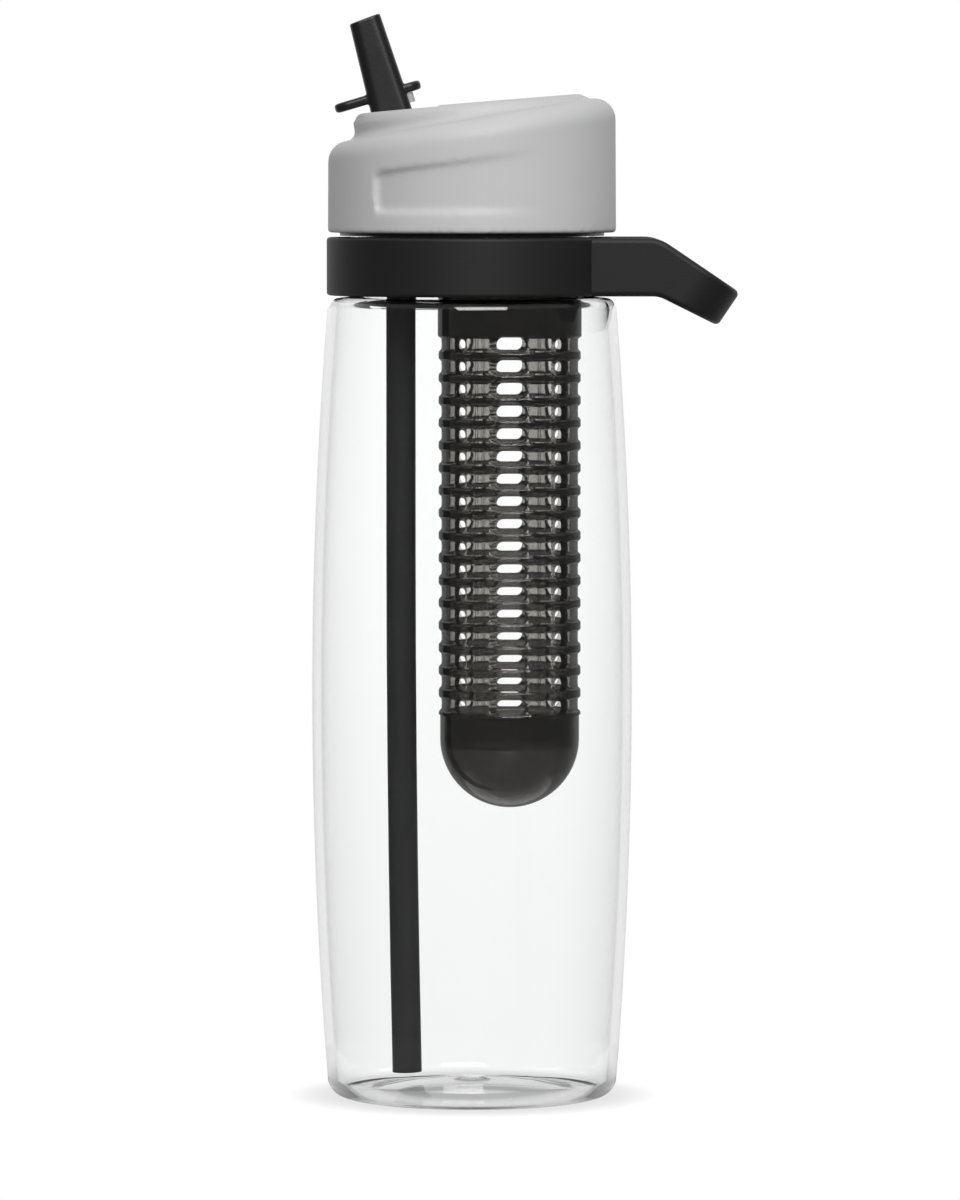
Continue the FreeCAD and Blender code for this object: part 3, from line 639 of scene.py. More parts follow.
@dataclass
class Bottle:
    """Clear blown bottle: barrel side, domed base with a gate mark, neck with a thread."""

    belly_radius: float = 0.03805
    waist_radius: float = 0.03415
    shoulder_height: float = 0.19
    shoulder_rise: float = 0.0005
    shoulder_corner: float = 0.0028
    shoulder_wall: float = 0.0012
    wall: float = 0.0022
    inner_corner: float = 0.0016
    base_wall: float = 0.0011
    foot_corner: float = 0.0045
    foot_ring: float = 0.025
    punt_rise: float = 0.003
    gate_radius: float = 0.0036
    gate_core: float = 0.7
    gate_outside: float = -0.0004
    gate_inside: float = 0.0005
    neck_radius: float = 0.0292
    neck_wall: float = 0.002
    neck_top: float = 0.2122
    rim_round: float = 0.0005
    thread_low: float = 0.2062
    thread_pitch: float = 0.0032
    thread_turns: float = 1.25
    thread_height: float = 0.0008
    thread_width: float = 0.0016
    thread_crest: float = 0.45
    thread_root: float = 0.0003
    thread_fade: float = 12.0
    dome_points: int = 40
    foot_points: int = 14
    side_points: int = 60
    shoulder_points: int = 12
    neck_points: int = 8
    rim_points: int = 6
    steps: int = 240

    def side_arc(self, foot: float, top: float, edge: float) -> tuple[Corner, float]:
        """Arc of the barrel's side.

        Args:
            foot: Height of its lower end.
            top: Height of its upper end.
            edge: Radius of the barrel at both ends.

        Returns:
            The arc's centre and radius.
        """
        bulge = self.belly_radius - self.waist_radius
        half = (top - foot) / 2
        radius = (bulge ** 2 + half ** 2) / (2 * bulge)
        return (edge + bulge - radius, (foot + top) / 2), radius

    def side(
        self, foot: float, top: float, edge: float, low: float, high: float, slope: float
    ) -> list[Corner]:
        """One skin of the barrel from its flat foot to its sloping shoulder.

        Args:
            foot: Height of the flat foot.
            top: Height of the shoulder's outer corner.
            edge: Radius at both ends, before the corners are rounded.
            low: Rounding at the foot.
            high: Rounding at the shoulder.
            slope: Angle by which the shoulder rises towards the neck, in radians.

        Returns:
            Points from the foot up to the end of the shoulder's rounding.
        """
        centre, radius = self.side_arc(foot, top, edge)
        foot_z = foot + low
        foot_r = centre[0] + math.sqrt((radius - low) ** 2 - (foot_z - centre[1]) ** 2)
        foot_turn = math.atan2(foot_z - centre[1], foot_r - centre[0])
        normal = (math.sin(slope), math.cos(slope))
        along = (-math.cos(slope), math.sin(slope))
        start = (edge - high * normal[0] - centre[0], top - high * normal[1] - centre[1])
        half = start[0] * along[0] + start[1] * along[1]
        rest = start[0] ** 2 + start[1] ** 2 - (radius - high) ** 2
        shift = -half - math.sqrt(half ** 2 - rest)
        if abs(shift) > radius:
            shift = -half + math.sqrt(half ** 2 - rest)
        top_r = start[0] + shift * along[0] + centre[0]
        top_z = start[1] + shift * along[1] + centre[1]
        top_turn = math.atan2(top_z - centre[1], top_r - centre[0])
        points = arc((foot_r, foot_z), low, -math.pi / 2, foot_turn, self.foot_points)
        points += arc(centre, radius, foot_turn, top_turn, self.side_points)[1:]
        points += arc((top_r, top_z), high, top_turn, math.pi / 2 - slope, self.shoulder_points)[1:]
        return points

    def punt(self, height: float, nub: float) -> list[Corner]:
        """Domed base from the axis out to the foot ring, with a small gate mark.

        Args:
            height: Height of the foot ring.
            nub: Height of the gate mark, which may be negative.

        Returns:
            Points from the axis outwards.
        """
        radius = (self.foot_ring ** 2 + self.punt_rise ** 2) / (2 * self.punt_rise)
        spread = math.asin(self.foot_ring / radius)
        centre = (0.0, height + self.punt_rise - radius)
        dome = arc(centre, radius, math.pi / 2, math.pi / 2 - spread, self.dome_points)
        core = self.gate_radius * self.gate_core
        edge = self.gate_radius - core
        return [(r, z + nub * (1 - min(1.0, max(0.0, (r - core) / edge)))) for r, z in dome]

    def outline(self) -> list[Corner]:
        """Section of the wall.

        Returns:
            Points from the middle of the base up the outside, over the rim and down the inside.
        """
        rim = self.rim_round
        bore = self.neck_radius - self.neck_wall
        edge = self.waist_radius - self.wall
        neck_foot = self.shoulder_height + self.shoulder_rise
        climb = [(self.neck_top - neck_foot) * step / self.neck_points for step in range(self.neck_points)]
        slope = math.atan2(self.shoulder_rise, self.waist_radius - self.neck_radius)
        outside = self.punt(0.0, self.gate_outside)
        outside += self.side(
            0.0, self.shoulder_height, self.waist_radius, self.foot_corner, self.shoulder_corner, slope
        )
        outside += [(self.neck_radius, neck_foot + rise) for rise in climb]
        outer_rim = (self.neck_radius - rim, self.neck_top - rim)
        inner_rim = (bore + rim, self.neck_top - rim)
        outside += arc(outer_rim, rim, 0.0, math.pi / 2, self.rim_points)
        outside += arc(inner_rim, rim, math.pi / 2, math.pi, self.rim_points)
        inside = self.punt(self.base_wall, self.gate_inside)
        inside += self.side(
            self.base_wall,
            self.shoulder_height - self.shoulder_wall,
            edge,
            self.foot_corner - self.base_wall / 2,
            self.inner_corner,
            math.atan2(self.shoulder_rise, edge - bore),
        )
        inside += [(bore, neck_foot - self.shoulder_wall + rise) for rise in climb]
        return outside + inside[::-1]

    def build_body(self) -> bpy.types.Object:
        """Make the bottle's wall."""
        return lathe("clear_bottle", self.outline(), self.steps)

    def build_thread(self) -> bpy.types.Object:
        """Make the screw ridge on the neck.

        Returns:
            A ridge that rises out of the neck at both ends.
        """
        work = bmesh.new()
        count = int(self.steps * self.thread_turns)
        root = self.neck_radius - self.thread_root
        half = self.thread_width / 2
        crest = half * self.thread_crest
        rings = []
        for step in range(count + 1):
            turn = 2 * math.pi * self.thread_turns * step / count
            fade = min(1.0, self.thread_fade * min(step, count - step) / count)
            height = self.thread_low + self.thread_pitch * turn / (2 * math.pi)
            out = self.neck_radius + self.thread_height * fade
            section = ((root, -half), (out, -crest), (out, crest), (root, half))
            rings.append([work.verts.new(turned(r, turn, height + z)) for r, z in section])
        bridge(work, rings)
        work.faces.new(rings[0])
        work.faces.new(rings[-1][::-1])
        return closed_piece("neck_thread", work)

    def dress(self) -> list[bpy.types.Object]:
        """Build the bottle's pieces, set them on their body and finish them.

        Returns:
            The bottle and its thread.
        """
        material = CLEAR_BOTTLE.material()
        body = self.build_body()
        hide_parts("bottle_body")
        pieces = [body, self.build_thread()]
        for item in pieces:
            coat(item, material)
            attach(item, "bottle")
        return pieces


@dataclass
class Lid:
    """Screw lid: grey shell, black liner, straw and seals."""

    crease: float = 35.0
    voxel: float = 0.00053
    grip_left: float = -0.0227
    grip_right: float = 0.0179
    grip_low: float = 0.2106
    grip_high: float = 0.2254
    grip_margin: float = 0.002
    grip_passes: int = 6
    edge_passes: int = 2

    def near_grip(self, point: Vector) -> bool:
        """Tell whether a point lies on or beside a grip recess.

        Args:
            point: A point of the shell.

        Returns:
            True at the recesses of both sides.
        """
        beside = self.grip_margin
        across = self.grip_left - beside < point.x < self.grip_right + beside
        return across and self.grip_low - beside < point.z < self.grip_high + beside

    def build_shell(self) -> bpy.types.Object:
        """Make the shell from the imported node's shape.

        Returns:
            The shell with the soft edges of a moulding.
        """
        shell = bpy.data.objects.new("soft_lid_shell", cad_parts["lid_shell"].data.copy())
        bpy.context.scene.collection.objects.link(shell)
        even_net(shell, self.voxel)
        soften(shell, self.edge_passes)
        soften(shell, self.grip_passes, self.near_grip)
        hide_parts("lid_shell")
        return shell

    def dress(self) -> list[bpy.types.Object]:
        """Build the shell and finish the lid's nodes.

        Returns:
            The lid's pieces.
        """
        shell = self.build_shell()
        coat(shell, GREY_LID.material())
        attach(shell, "lid")
        black = [("lid_liner", BLACK_LINER), ("straw", BLACK_STRAW)]
        pieces = [dress_node(node, look.material(), self.crease) for node, look in black]
        seal = MILKY_SEAL.material()
        for node in ("lid_gasket", "vent_valve", "spout_seal", "flow_tube"):
            pieces.append(dress_node(node, seal, self.crease))
        return [shell] + pieces


@dataclass(frozen=True)
class Section:
    """Rounded rectangle across the spout: its middle, half its depth and width, and its corner."""

    middle: float
    half_depth: float
    half_width: float
    corner: float


@dataclass
class Spout:
    """Flip spout: tapered mouthpiece with a thumb tab, on a drum with two trunnions."""

    pivot_x: float = -0.0179
    pivot_z: float = 0.2299
    lean: float = math.radians(16.5)
    root: Section = Section(0.0001, 0.00505, 0.0046, 0.0024)
    tip: Section = Section(0.00025, 0.0038, 0.0037, 0.0024)
    tip_height: float = 0.0274
    tip_tilt: float = 0.07
    tab: Section = Section(-0.002, 0.0106, 0.0033, 0.0032)
    tab_height: float = 0.0089
    tab_thickness: float = 0.0022
    tab_round: float = 0.0008
    tab_steps: int = 4
    drum_radius: float = 0.0052
    drum_half: float = 0.0043
    trunnion_radius: float = 0.002
    trunnion_half: float = 0.0061
    bore: Section = Section(0.0, 0.00295, 0.00295, 0.00295)
    bore_ends: Corner = (-0.011, 0.03)
    window: Section = Section(0.005, 0.005, 0.00225, 0.0004)
    window_ends: Corner = (0.00535, 0.00775)
    corner_steps: int = 12
    voxel: float = 0.00024
    passes: int = 3
    crease: float = 40.0

    def placed(self, across: float, along: float, up: float) -> Vector:
        """Place in the part's frame of a point of the leaning spout.

        Args:
            across: How far it lies behind the spout's axis.
            along: How far it lies along the hinge.
            up: How far it lies up the spout's axis.

        Returns:
            The place.
        """
        cos, sin = math.cos(self.lean), math.sin(self.lean)
        x = self.pivot_x + across * cos - up * sin
        z = self.pivot_z + across * sin + up * cos
        return Vector((x, along, z))

    def ring(
        self, section: Section, height: float, inset: float = 0.0, tilt: float = 0.0
    ) -> list[Vector]:
        """Points round a rounded rectangle.

        Args:
            section: The rectangle.
            height: Its height on the spout's axis.
            inset: How far inside its edge the points lie.
            tilt: How much higher it gets per metre towards the back.

        Returns:
            The points in order.
        """
        reach = section.corner - inset
        deep = section.half_depth - section.corner
        wide = section.half_width - section.corner
        points = []
        for quarter, (back, side) in enumerate(((1, 1), (-1, 1), (-1, -1), (1, -1))):
            for step in range(self.corner_steps + 1):
                turn = math.pi / 2 * (quarter + step / self.corner_steps)
                across = section.middle + back * deep + reach * math.cos(turn)
                along = side * wide + reach * math.sin(turn)
                points.append(self.placed(across, along, height + tilt * across))
        return points

    def wheel(self, radius: float, half: float) -> list[list[Vector]]:
        """Both rings of a round solid that lies along the hinge.

        Args:
            radius: Its radius.
            half: Half its length.

        Returns:
            The rings, one per end.
        """
        count = 4 * self.corner_steps
        turns = [2 * math.pi * step / count for step in range(count)]
        section = [(radius * math.cos(turn), radius * math.sin(turn)) for turn in turns]
        return [[self.placed(across, along, up) for across, up in section] for along in (-half, half)]

    def solid(self, name: str, parts: Sequence[Sequence[Sequence[Vector]]]) -> bpy.types.Object:
        """Make a piece of closed solids.

        Args:
            name: Name of the piece.
            parts: The rings of each solid, from one end to the other.

        Returns:
            The piece.
        """
        work = bmesh.new()
        for part in parts:
            rings = [[work.verts.new(place) for place in ring] for ring in part]
            bridge(work, rings)
            work.faces.new(rings[0][::-1])
            work.faces.new(rings[-1])
        bmesh.ops.remove_doubles(work, verts=work.verts, dist=SAME_PLACE)
        return closed_piece(name, work)

    def tab_rings(self) -> list[list[Vector]]:
        """Section of the thumb tab, whose edge is rounded above and below.

        Returns:
            Its rings, from below.
        """
        flat = self.tab_thickness / 2 - self.tab_round
        rings = []
        for step in range(-self.tab_steps, self.tab_steps + 1):
            turn = math.pi / 2 * step / self.tab_steps
            inset = self.tab_round * (1 - math.cos(turn))
            lift = math.copysign(flat, turn) + self.tab_round * math.sin(turn)
            rings.append(self.ring(self.tab, self.tab_height + lift, inset))
        return rings

    def build(self) -> bpy.types.Object:
        """Make the spout with its bore and the window for the tube's heel.

        Returns:
            The spout, one closed skin with soft edges.
        """
        tip = self.ring(self.tip, self.tip_height, tilt=self.tip_tilt)
        mouthpiece = [self.ring(self.root, 0.0), tip]
        drum = self.wheel(self.drum_radius, self.drum_half)
        trunnions = self.wheel(self.trunnion_radius, self.trunnion_half)
        spout = self.solid("soft_spout", [mouthpiece, self.tab_rings(), drum, trunnions])
        even_net(spout, self.voxel)
        soften(spout, self.passes)
        for section, ends in ((self.bore, self.bore_ends), (self.window, self.window_ends)):
            cut_out(spout, self.solid("cutter", [[self.ring(section, end) for end in ends]]))
        smooth_between(spout.data, self.crease)
        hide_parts("spout")
        return spout

    def dress(self) -> list[bpy.types.Object]:
        """Build the spout and finish it.

        Returns:
            The spout.
        """
        spout = self.build()
        coat(spout, BLACK_SPOUT.material())
        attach(spout, "flip_spout")
        return [spout]


@dataclass
class Band:
    """Black carry band with its finger loop."""

    crease: float = 35.0

    def dress(self) -> list[bpy.types.Object]:
        """Finish the band."""
        return [dress_node("carry_band", BLACK_BAND.material(), self.crease)]


@dataclass(frozen=True)
class Mouth:
    """Opening of a slot in one skin of the basket: half its width and height, and its middle."""

    half_width: float
    half_height: float
    middle: float


@dataclass(frozen=True)
class Slot:
    """One round-ended slot of the basket, from its outer to its inner mouth."""

    outside: Mouth
    inside: Mouth


class Net:
    """Mesh in the making, whose faces share the points that lie on one place."""

    def __init__(self) -> None:
        """Start with no faces."""
        self.work = bmesh.new()
        self.points: dict[tuple[int, ...], bmesh.types.BMVert] = {}

    def point(self, place: Vector) -> bmesh.types.BMVert:
        """The point at a place.

        Args:
            place: The place.

        Returns:
            A new point, or the one that lies there.
        """
        key = tuple(round(part / SAME_PLACE) for part in place)
        if key not in self.points:
            self.points[key] = self.work.verts.new(place)
        return self.points[key]

    def face(self, corners: Sequence[Vector]) -> None:
        """Add a smooth face, unless its corners fall together.

        Args:
            corners: Places of its corners.
        """
        shared = list(dict.fromkeys(self.point(corner) for corner in corners))
        if len(shared) > 2:
            self.work.faces.new(shared).smooth = True


Node = tuple[float, float, float]
Patch = list[Node]


@dataclass
class Infuser:
    """Slotted basket and its end cap."""

    axis_x: float = 0.00895
    rib_radius: float = 0.0169
    panel_radius: float = 0.0163
    panel_edge: float = 0.00145
    rib_edge: float = 0.00185
    bore: float = 0.0147
    bore_margin: float = 0.0007
    collar_radius: float = 0.0171
    collar_bore: float = 0.0157
    collar_round: float = 0.0002
    insert_radius: float = 0.01505
    insert_bore: float = 0.01385
    insert_step: float = 0.0006
    top: float = 0.2131
    seat: float = 0.1974
    seam: float = 0.0912
    foot: float = 0.08355
    first_row: float = 0.1793
    row_count: int = 17
    row_pitch: float = 0.00535
    slot_round: float = 0.00025
    slot_shoulder: float = 0.3
    field_margin: float = 0.00028
    field_height: float = 0.0024
    field_columns: int = 11
    side_shares: tuple[float, ...] = (1.0, 0.77, 0.6, 0.0, -0.6, -0.77, -1.0)
    broad: Slot = Slot(Mouth(0.0047, 0.002, -0.00037), Mouth(0.0038, 0.00175, 0.00015))
    right: Slot = Slot(Mouth(0.0028, 0.0015, 0.0003), Mouth(0.00135, 0.0012, 0.0012))
    left: Slot = Slot(Mouth(0.00193, 0.0015, -0.00023), Mouth(0.00135, 0.0012, -0.0012))
    back_right: Slot = Slot(Mouth(0.0017, 0.0015, 0.00097), Mouth(0.0017, 0.0013, -0.00077))
    back_left: Slot = Slot(Mouth(0.0017, 0.0015, -0.00097), Mouth(0.0017, 0.0013, 0.00077))
    side: Slot = Slot(Mouth(0.0018, 0.0015, 0.0), Mouth(0.0016, 0.0013, 0.0))
    crease: float = 35.0

    @property
    def columns(self) -> tuple[Slot, ...]:
        """Slots of one row, from the front round by the right."""
        front = (self.broad, self.right, self.side, self.back_right)
        return front + (self.broad, self.back_left, self.side, self.left)

    @property
    def half_cell(self) -> float:
        """Half the way round the ribs from the middle of one column to the next."""
        return math.pi * self.rib_radius / len(self.columns)

    def skin_radius(self, height: float) -> float:
        """Radius of the outside.

        Args:
            height: Height from the middle of a row.

        Returns:
            The panel's radius, which runs smoothly into that of the ribs.
        """
        share = (abs(height) - self.panel_edge) / (self.rib_edge - self.panel_edge)
        share = min(1.0, max(0.0, share))
        step = share * share * (3 - 2 * share)
        return self.panel_radius + (self.rib_radius - self.panel_radius) * step

    def mouth_ring(self, mouth: Mouth, grow: float) -> list[Corner]:
        """Points round a mouth.

        Args:
            mouth: The mouth.
            grow: How far outside its edge the points lie.

        Returns:
            Points clockwise from the upper left, 15 degrees apart on the round ends.
        """
        run = mouth.half_width - mouth.half_height
        reach = mouth.half_height + grow
        turns = [(-run, turn) for turn in (135, 120, 105, 90)]
        turns += [(-run / 2, 90), (0.0, 90), (run / 2, 90)]
        turns += [(run, turn) for turn in range(90, -45, -15)]
        half = [
            (at + reach * math.cos(math.radians(turn)), reach * math.sin(math.radians(turn)))
            for at, turn in turns
        ]
        return [(mouth.middle + u, v) for u, v in half] + [(mouth.middle - u, -v) for u, v in half]

    def field_ring(self, mouth: Mouth) -> list[Corner]:
        """Points round the field that holds a mouth.

        Args:
            mouth: The mouth.

        Returns:
            As many points as the mouth's ring has, in the same order.
        """
        wide = mouth.half_width + self.field_margin
        run = mouth.half_width - mouth.half_height
        step = (wide - run) / 3
        high = self.field_height
        across = [-wide, -wide + step, -wide + 2 * step, -run, -run / 2]
        across += [0.0, run / 2, run, run + step, wide - step]
        half = [(u, high) for u in across] + [(wide, high * share) for share in self.side_shares[:-1]]
        return [(mouth.middle + u, v) for u, v in half] + [(mouth.middle - u, -v) for u, v in half]

    def border(self, mouth: Mouth) -> list[float]:
        """Places along the upper and lower edges of a cell.

        Args:
            mouth: The mouth in the cell's middle.

        Returns:
            Ways round from the column's middle, from left to right.
        """
        field = [u for u, _ in self.field_ring(mouth)[:self.field_columns]]
        left = (field[0] - self.half_cell) / 2
        right = (field[-1] + self.half_cell) / 2
        return [-self.half_cell, left] + field + [right, self.half_cell]

    def skin_patches(self, mouth: Mouth, radius: Callable[[float], float]) -> list[Patch]:
        """Faces of one skin of a cell round the field of its mouth.

        Args:
            mouth: The slot's mouth in this skin.
            radius: Radius of the skin at a height from the row's middle.

        Returns:
            Faces with corners as (way round, height, radius).
        """
        across = self.border(mouth)
        side = [self.field_height * share for share in self.side_shares]
        edge = self.row_pitch / 2
        levels = [edge, (edge + 2 * self.field_height) / 3, self.field_height]
        fields = [(across, levels), (across, [-level for level in levels[::-1]])]
        fields += [(across[:3], side), (across[-3:], side)]
        patches = []
        for places, heights in fields:
            for left, right in zip(places, places[1:]):
                for high, low in zip(heights, heights[1:]):
                    corners = ((left, high), (right, high), (right, low), (left, low))
                    patches.append([(u, v, radius(v)) for u, v in corners])
        return patches

    def outer_rings(self, mouth: Mouth) -> list[Patch]:
        """Rings from the field's edge over the rounded rim into an outer mouth.

        Args:
            mouth: The outer mouth.

        Returns:
            Rings of points as (way round, height, radius).
        """
        rim = self.slot_round
        shoulder = rim * self.slot_shoulder
        field = self.field_ring(mouth)
        lip = self.mouth_ring(mouth, rim)
        between = [((a[0] + b[0]) / 2, (a[1] + b[1]) / 2) for a, b in zip(lip, field)]
        steps = [
            (field, 0.0),
            (between, 0.0),
            (lip, 0.0),
            (self.mouth_ring(mouth, shoulder), shoulder),
            (self.mouth_ring(mouth, 0.0), rim),
        ]
        return [[(u, v, self.skin_radius(v) - sink) for u, v in ring] for ring, sink in steps]

    def inner_rings(self, mouth: Mouth) -> list[Patch]:
        """Rings from an inner mouth over its rounded rim to the field's edge.

        Args:
            mouth: The inner mouth.

        Returns:
            Rings of points as (way round, height, radius).
        """
        rim = self.slot_round
        steps = [
            (self.mouth_ring(mouth, 0.0), rim),
            (self.mouth_ring(mouth, rim), 0.0),
            (self.field_ring(mouth), 0.0),
        ]
        return [[(u, v, self.bore + lift) for u, v in ring] for ring, lift in steps]

    def cell(self, slot: Slot) -> list[Patch]:
        """Faces of one cell: both skins, the slot's wall and its rounded rims.

        Args:
            slot: The cell's slot.

        Returns:
            Faces with corners as (way round, height, radius).
        """
        outer = self.outer_rings(slot.outside)
        inner = self.inner_rings(slot.inside)
        pairs = zip(outer[-1], inner[0])
        middle = [tuple((a + b) / 2 for a, b in zip(one, two)) for one, two in pairs]
        loops = outer + [middle] + inner
        patches = []
        for one, two in zip(loops, loops[1:]):
            for step in range(len(one)):
                after = (step + 1) % len(one)
                patches.append([one[step], one[after], two[after], two[step]])
        patches += self.skin_patches(slot.outside, self.skin_radius)
        patches += self.skin_patches(slot.inside, lambda _: self.bore)
        return patches

    def end_patches(self, slot: Slot, path: Sequence[Corner]) -> list[Patch]:
        """Faces of one column of the collar or of the foot, from the outside round to the bore.

        Args:
            slot: The column's slot.
            path: (radius, height) corners.

        Returns:
            Faces with corners as (way round, height, radius).
        """
        outer = self.border(slot.outside)
        inner = self.border(slot.inside)
        rows = []
        for step, (radius, height) in enumerate(path):
            share = step / (len(path) - 1)
            rows.append([(a + (b - a) * share, height, radius) for a, b in zip(outer, inner)])
        return [
            [one[step], one[step + 1], two[step + 1], two[step]]
            for one, two in zip(rows, rows[1:]) for step in range(len(outer) - 1)
        ]

    def round_axis(self, column: int, around: float, radius: float, height: float) -> Vector:
        """Place in the part's frame of a point on a column, so far round from its middle."""
        turn = 2 * math.pi * column / len(self.columns) + around / self.rib_radius
        return Vector((self.axis_x + radius * math.sin(turn), -radius * math.cos(turn), height))

    def placed(self, node: Node, column: int, row: int) -> Vector:
        """Place of a cell's corner in the part's frame; the top row runs into the collar.

        Args:
            node: The corner as (way round, height, radius).
            column: Number of the column, from the front round by the right.
            row: Number of the row, from the top.

        Returns:
            The place.
        """
        around, height, radius = node
        if row == 0 and height > 0 and radius > self.bore + self.bore_margin:
            lift = (self.collar_radius - self.panel_radius) / (self.rib_radius - self.panel_radius)
            radius = self.panel_radius + (radius - self.panel_radius) * lift
        up = max(self.seam, self.first_row - row * self.row_pitch + height)
        return self.round_axis(column, around, radius, up)

    def collar_path(self) -> list[Corner]:
        """Section of the collar.

        Returns:
            Corners from the outside of the top row round to the bore.
        """
        edge = self.first_row + self.row_pitch / 2
        soft = self.collar_round
        outside = [(self.collar_radius, edge), (self.collar_radius, self.top - soft)]
        rim = [(self.collar_radius - soft, self.top), (self.collar_bore + soft, self.top)]
        inside = [(self.collar_bore, self.top - soft), (self.collar_bore, self.seat)]
        return outside + rim + inside + [(self.bore, self.seat), (self.bore, edge)]

    def foot_path(self) -> list[Corner]:
        """Section of the stepped foot that the end cap slides over.

        Returns:
            Corners from the outside of the lowest row round to the bore.
        """
        step = [(self.rib_radius, self.seam), (self.insert_radius, self.seam)]
        end = [(self.insert_radius, self.foot), (self.insert_bore, self.foot)]
        return step + end + [(self.insert_bore, self.seam - self.insert_step), (self.bore, self.seam)]

    def build_basket(self) -> bpy.types.Object:
        """Make the basket with its wavy ribs and its flared, round-edged slots.

        Returns:
            The basket, one closed skin.
        """
        net = Net()
        for column, slot in enumerate(self.columns):
            cell = self.cell(slot)
            for row in range(self.row_count):
                for patch in cell:
                    net.face([self.placed(node, column, row) for node in patch])
            for path in (self.collar_path(), self.foot_path()):
                for patch in self.end_patches(slot, path):
                    net.face([self.round_axis(column, u, radius, up) for u, up, radius in patch])
        basket = closed_piece("slotted_basket", net.work)
        smooth_between(basket.data, self.crease)
        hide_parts("infuser_basket")
        return basket

    def dress(self) -> list[bpy.types.Object]:
        """Build the basket and finish it and its cap.

        Returns:
            The basket and the cap.
        """
        basket = self.build_basket()
        coat(basket, SMOKE_BASKET.material())
        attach(basket, "infuser")
        cap = dress_node("infuser_end_cap", SMOKE_CAP.material(), self.crease)
        return [basket, cap]


def look_at(item: bpy.types.Object, target: Vector) -> None:
    """Turn a lamp or camera to a place and put it into the scene."""
    item.rotation_euler = (target - item.location).to_track_quat("-Z", "Y").to_euler()
    bpy.context.scene.collection.objects.link(item)


@dataclass(frozen=True)
class Panel:
    """Soft rectangular lamp: its place, width and height, power in watts and the height it looks at."""

    name: str
    place: tuple[float, float, float]
    size: Corner
    power: float
    aim: float

    def hang(self) -> None:
        """Add the lamp to the scene, turned to the bottle's axis."""
        lamp = bpy.data.lights.new(self.name, "AREA")
        lamp.shape = "RECTANGLE"
        lamp.size, lamp.size_y = self.size
        lamp.energy = self.power
        item = bpy.data.objects.new(self.name, lamp)
        item.location = self.place
        look_at(item, Vector((0.0, 0.0, self.aim)))


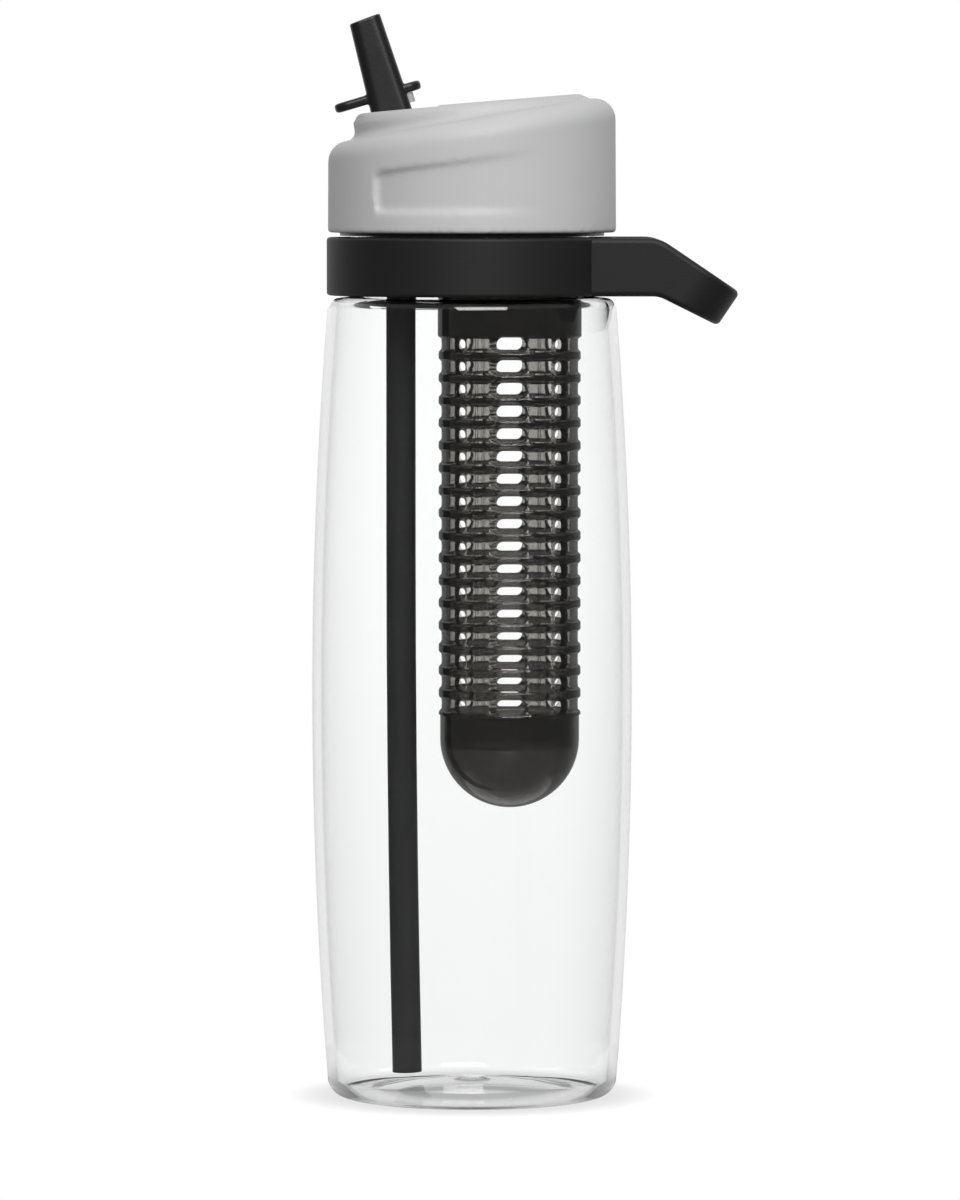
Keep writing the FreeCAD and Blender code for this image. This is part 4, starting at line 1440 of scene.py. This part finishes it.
@dataclass
class Studio:
    """Pale round floor, white surroundings, soft lamps and the camera."""

    distance: float = 1.8
    eye_height: float = 0.22
    aim_height: float = 0.1183
    aside: float = 0.0019
    field: float = 9.06
    far: float = 20.0
    floor_radius: float = 0.1
    floor_steps: int = 96
    floor_roughness: float = 0.8
    # Painted shadow: a dim ring under the dome and a contact shadow round the foot, which fades out to
    # white.
    ring_inside: Zone = (0.007, 0.014)
    ring_outside: Zone = (0.027, 0.02)
    shadow_ring_tones: Corner = (0.9, 0.5)
    contact_shadow_zone: Zone = (0.026, 0.032)
    contact_shadow_tone: float = 0.78
    shade_zone: Zone = (0.031, 0.05)
    # Painted shade that only reflections see: the mirrored floor is dim in front and brighter behind.
    mirrored_shade_zone: Zone = (-0.03, 0.05)
    mirrored_shade_tones: Corner = (0.16, 0.8)
    white: float = 1.06
    none_to_one: Zone = (0.1, 0.9)
    through_two: Zone = (2.6, 3.4)
    above_zone: Zone = (0.3, 0.8)
    above_glow: float = 0.4
    side_zone: Zone = (0.1, 0.95)
    side_glow: float = 0.75
    side_loss: float = 0.57
    ahead_zone: Zone = (0.93, 0.99)
    ahead_rise: Zone = (-0.02, 0.05)
    ahead_glow: float = 0.65
    mirror_glow: float = 0.11
    cast_glow: float = 0.295
    cast_above: float = 0.04
    low_zone: Zone = (-0.12, -0.03)
    low_gain: float = 0.1
    panels: tuple[Panel, ...] = (
        Panel("key_panel", (0.17, -1.1, 0.95), (0.9, 0.7), 14.2, 0.2),
        Panel("top_panel", (-0.1, 0.1, 1.3), (1.0, 1.0), 1.2, 0.0),
    )

    def build_floor(self) -> bpy.types.Object:
        """Make the pale floor, which runs into the white of the surroundings.

        Returns:
            The floor, with a painted shadow ring under the dome and a painted contact shadow round the
            foot, and with painted shade in front that only reflections show.
        """
        work = bmesh.new()
        bmesh.ops.create_circle(
            work, cap_ends=True, segments=self.floor_steps, radius=self.floor_radius
        )
        floor = piece_from("studio_floor", work)
        paint = Paint(bpy.data.materials.new("pale_floor"))
        _, along, radius = paint.round_axis(0.0)
        # Painted shadow ring under the dome, painted contact shadow round the foot, then fading to the
        # white floor.
        ring = radius.ramp(*self.ring_inside) * radius.ramp(*self.ring_outside)
        glow = paint.blend(ring, *(grey(tone) for tone in self.shadow_ring_tones))
        glow = paint.blend(radius.ramp(*self.contact_shadow_zone), glow, grey(self.contact_shadow_tone))
        glow = paint.blend(radius.ramp(*self.shade_zone), glow, grey(self.white))
        # Painted shade for reflections: glossy rays see the floor dim in front and brighter behind.
        behind = paint.blend(along.ramp(*self.mirrored_shade_zone), *(grey(tone) for tone in self.mirrored_shade_tones))
        mirror = paint.path("Glossy Depth").ramp(*self.none_to_one)
        coat(floor, paint.finish({
            "Base Color": grey(0.0),
            "Roughness": self.floor_roughness,
            "Specular IOR Level": 0.0,
            "Emission Color": paint.blend(mirror, glow, behind),
            "Emission Strength": 1.0,
        }))
        return floor

    def build_world(self) -> None:
        """Make the surroundings: white to look at, brighter behind the bottle than in front of it."""
        world = bpy.data.worlds.new("studio")
        bpy.context.scene.world = world
        paint = Paint(world)
        direction = paint.node("ShaderNodeTexCoord", output="Generated")
        along = paint.axis(direction, "Y")
        upward = paint.axis(direction, "Z")
        above = upward.ramp(*self.above_zone)
        deep = paint.path("Transmission Depth").ramp(*self.through_two)
        sides = along.ramp(*self.side_zone) * (self.side_glow - deep * self.side_loss)
        ahead = along.ramp(*self.ahead_zone) * upward.ramp(*self.ahead_rise)
        mirrored = self.mirror_glow + sides + ahead * self.ahead_glow + above * self.above_glow
        cast = self.cast_glow + above * self.cast_above
        through = self.white + upward.ramp(*self.low_zone) * self.low_gain
        bounces = paint.path("Diffuse Depth") + paint.path("Glossy Depth")
        unbounced = 1.0 - bounces.ramp(*self.none_to_one)
        strength = cast + paint.path("Is Glossy Ray") * (mirrored - cast)
        strength = strength + paint.path("Is Transmission Ray") * unbounced * (through - strength)
        strength = strength + paint.path("Is Camera Ray") * (1.0 - strength)
        inputs = {"Color": grey(1.0), "Strength": strength}
        light = paint.node("ShaderNodeBackground", None, inputs)
        paint.node("ShaderNodeOutputWorld", None, {"Surface": light}, None)

    def build_camera(self) -> None:
        """Stand the camera where the picture was taken from."""
        lens = bpy.data.cameras.new("camera")
        lens.sensor_fit = "VERTICAL"
        lens.angle = math.radians(self.field)
        lens.clip_end = self.far
        item = bpy.data.objects.new("camera", lens)
        item.location = (self.aside, -self.distance, self.eye_height)
        look_at(item, Vector((self.aside, 0.0, self.aim_height)))
        bpy.context.scene.camera = item

    def build(self) -> None:
        """Make the whole studio."""
        bpy.context.scene.view_settings.view_transform = "Standard"
        self.build_floor()
        self.build_world()
        for panel in self.panels:
            panel.hang()
        self.build_camera()


def main() -> None:
    """Build and dress every sub-assembly, then the studio."""
    logging.basicConfig(level=logging.INFO, format="%(message)s")
    for assembly in (Bottle(), Band(), Lid(), Spout(), Infuser()):
        for item in assembly.dress():
            LOG.info("%s: %s, %d faces", type(assembly).__name__, item.name, len(item.data.polygons))
    Studio().build()


if __name__ == "__main__":
    main()
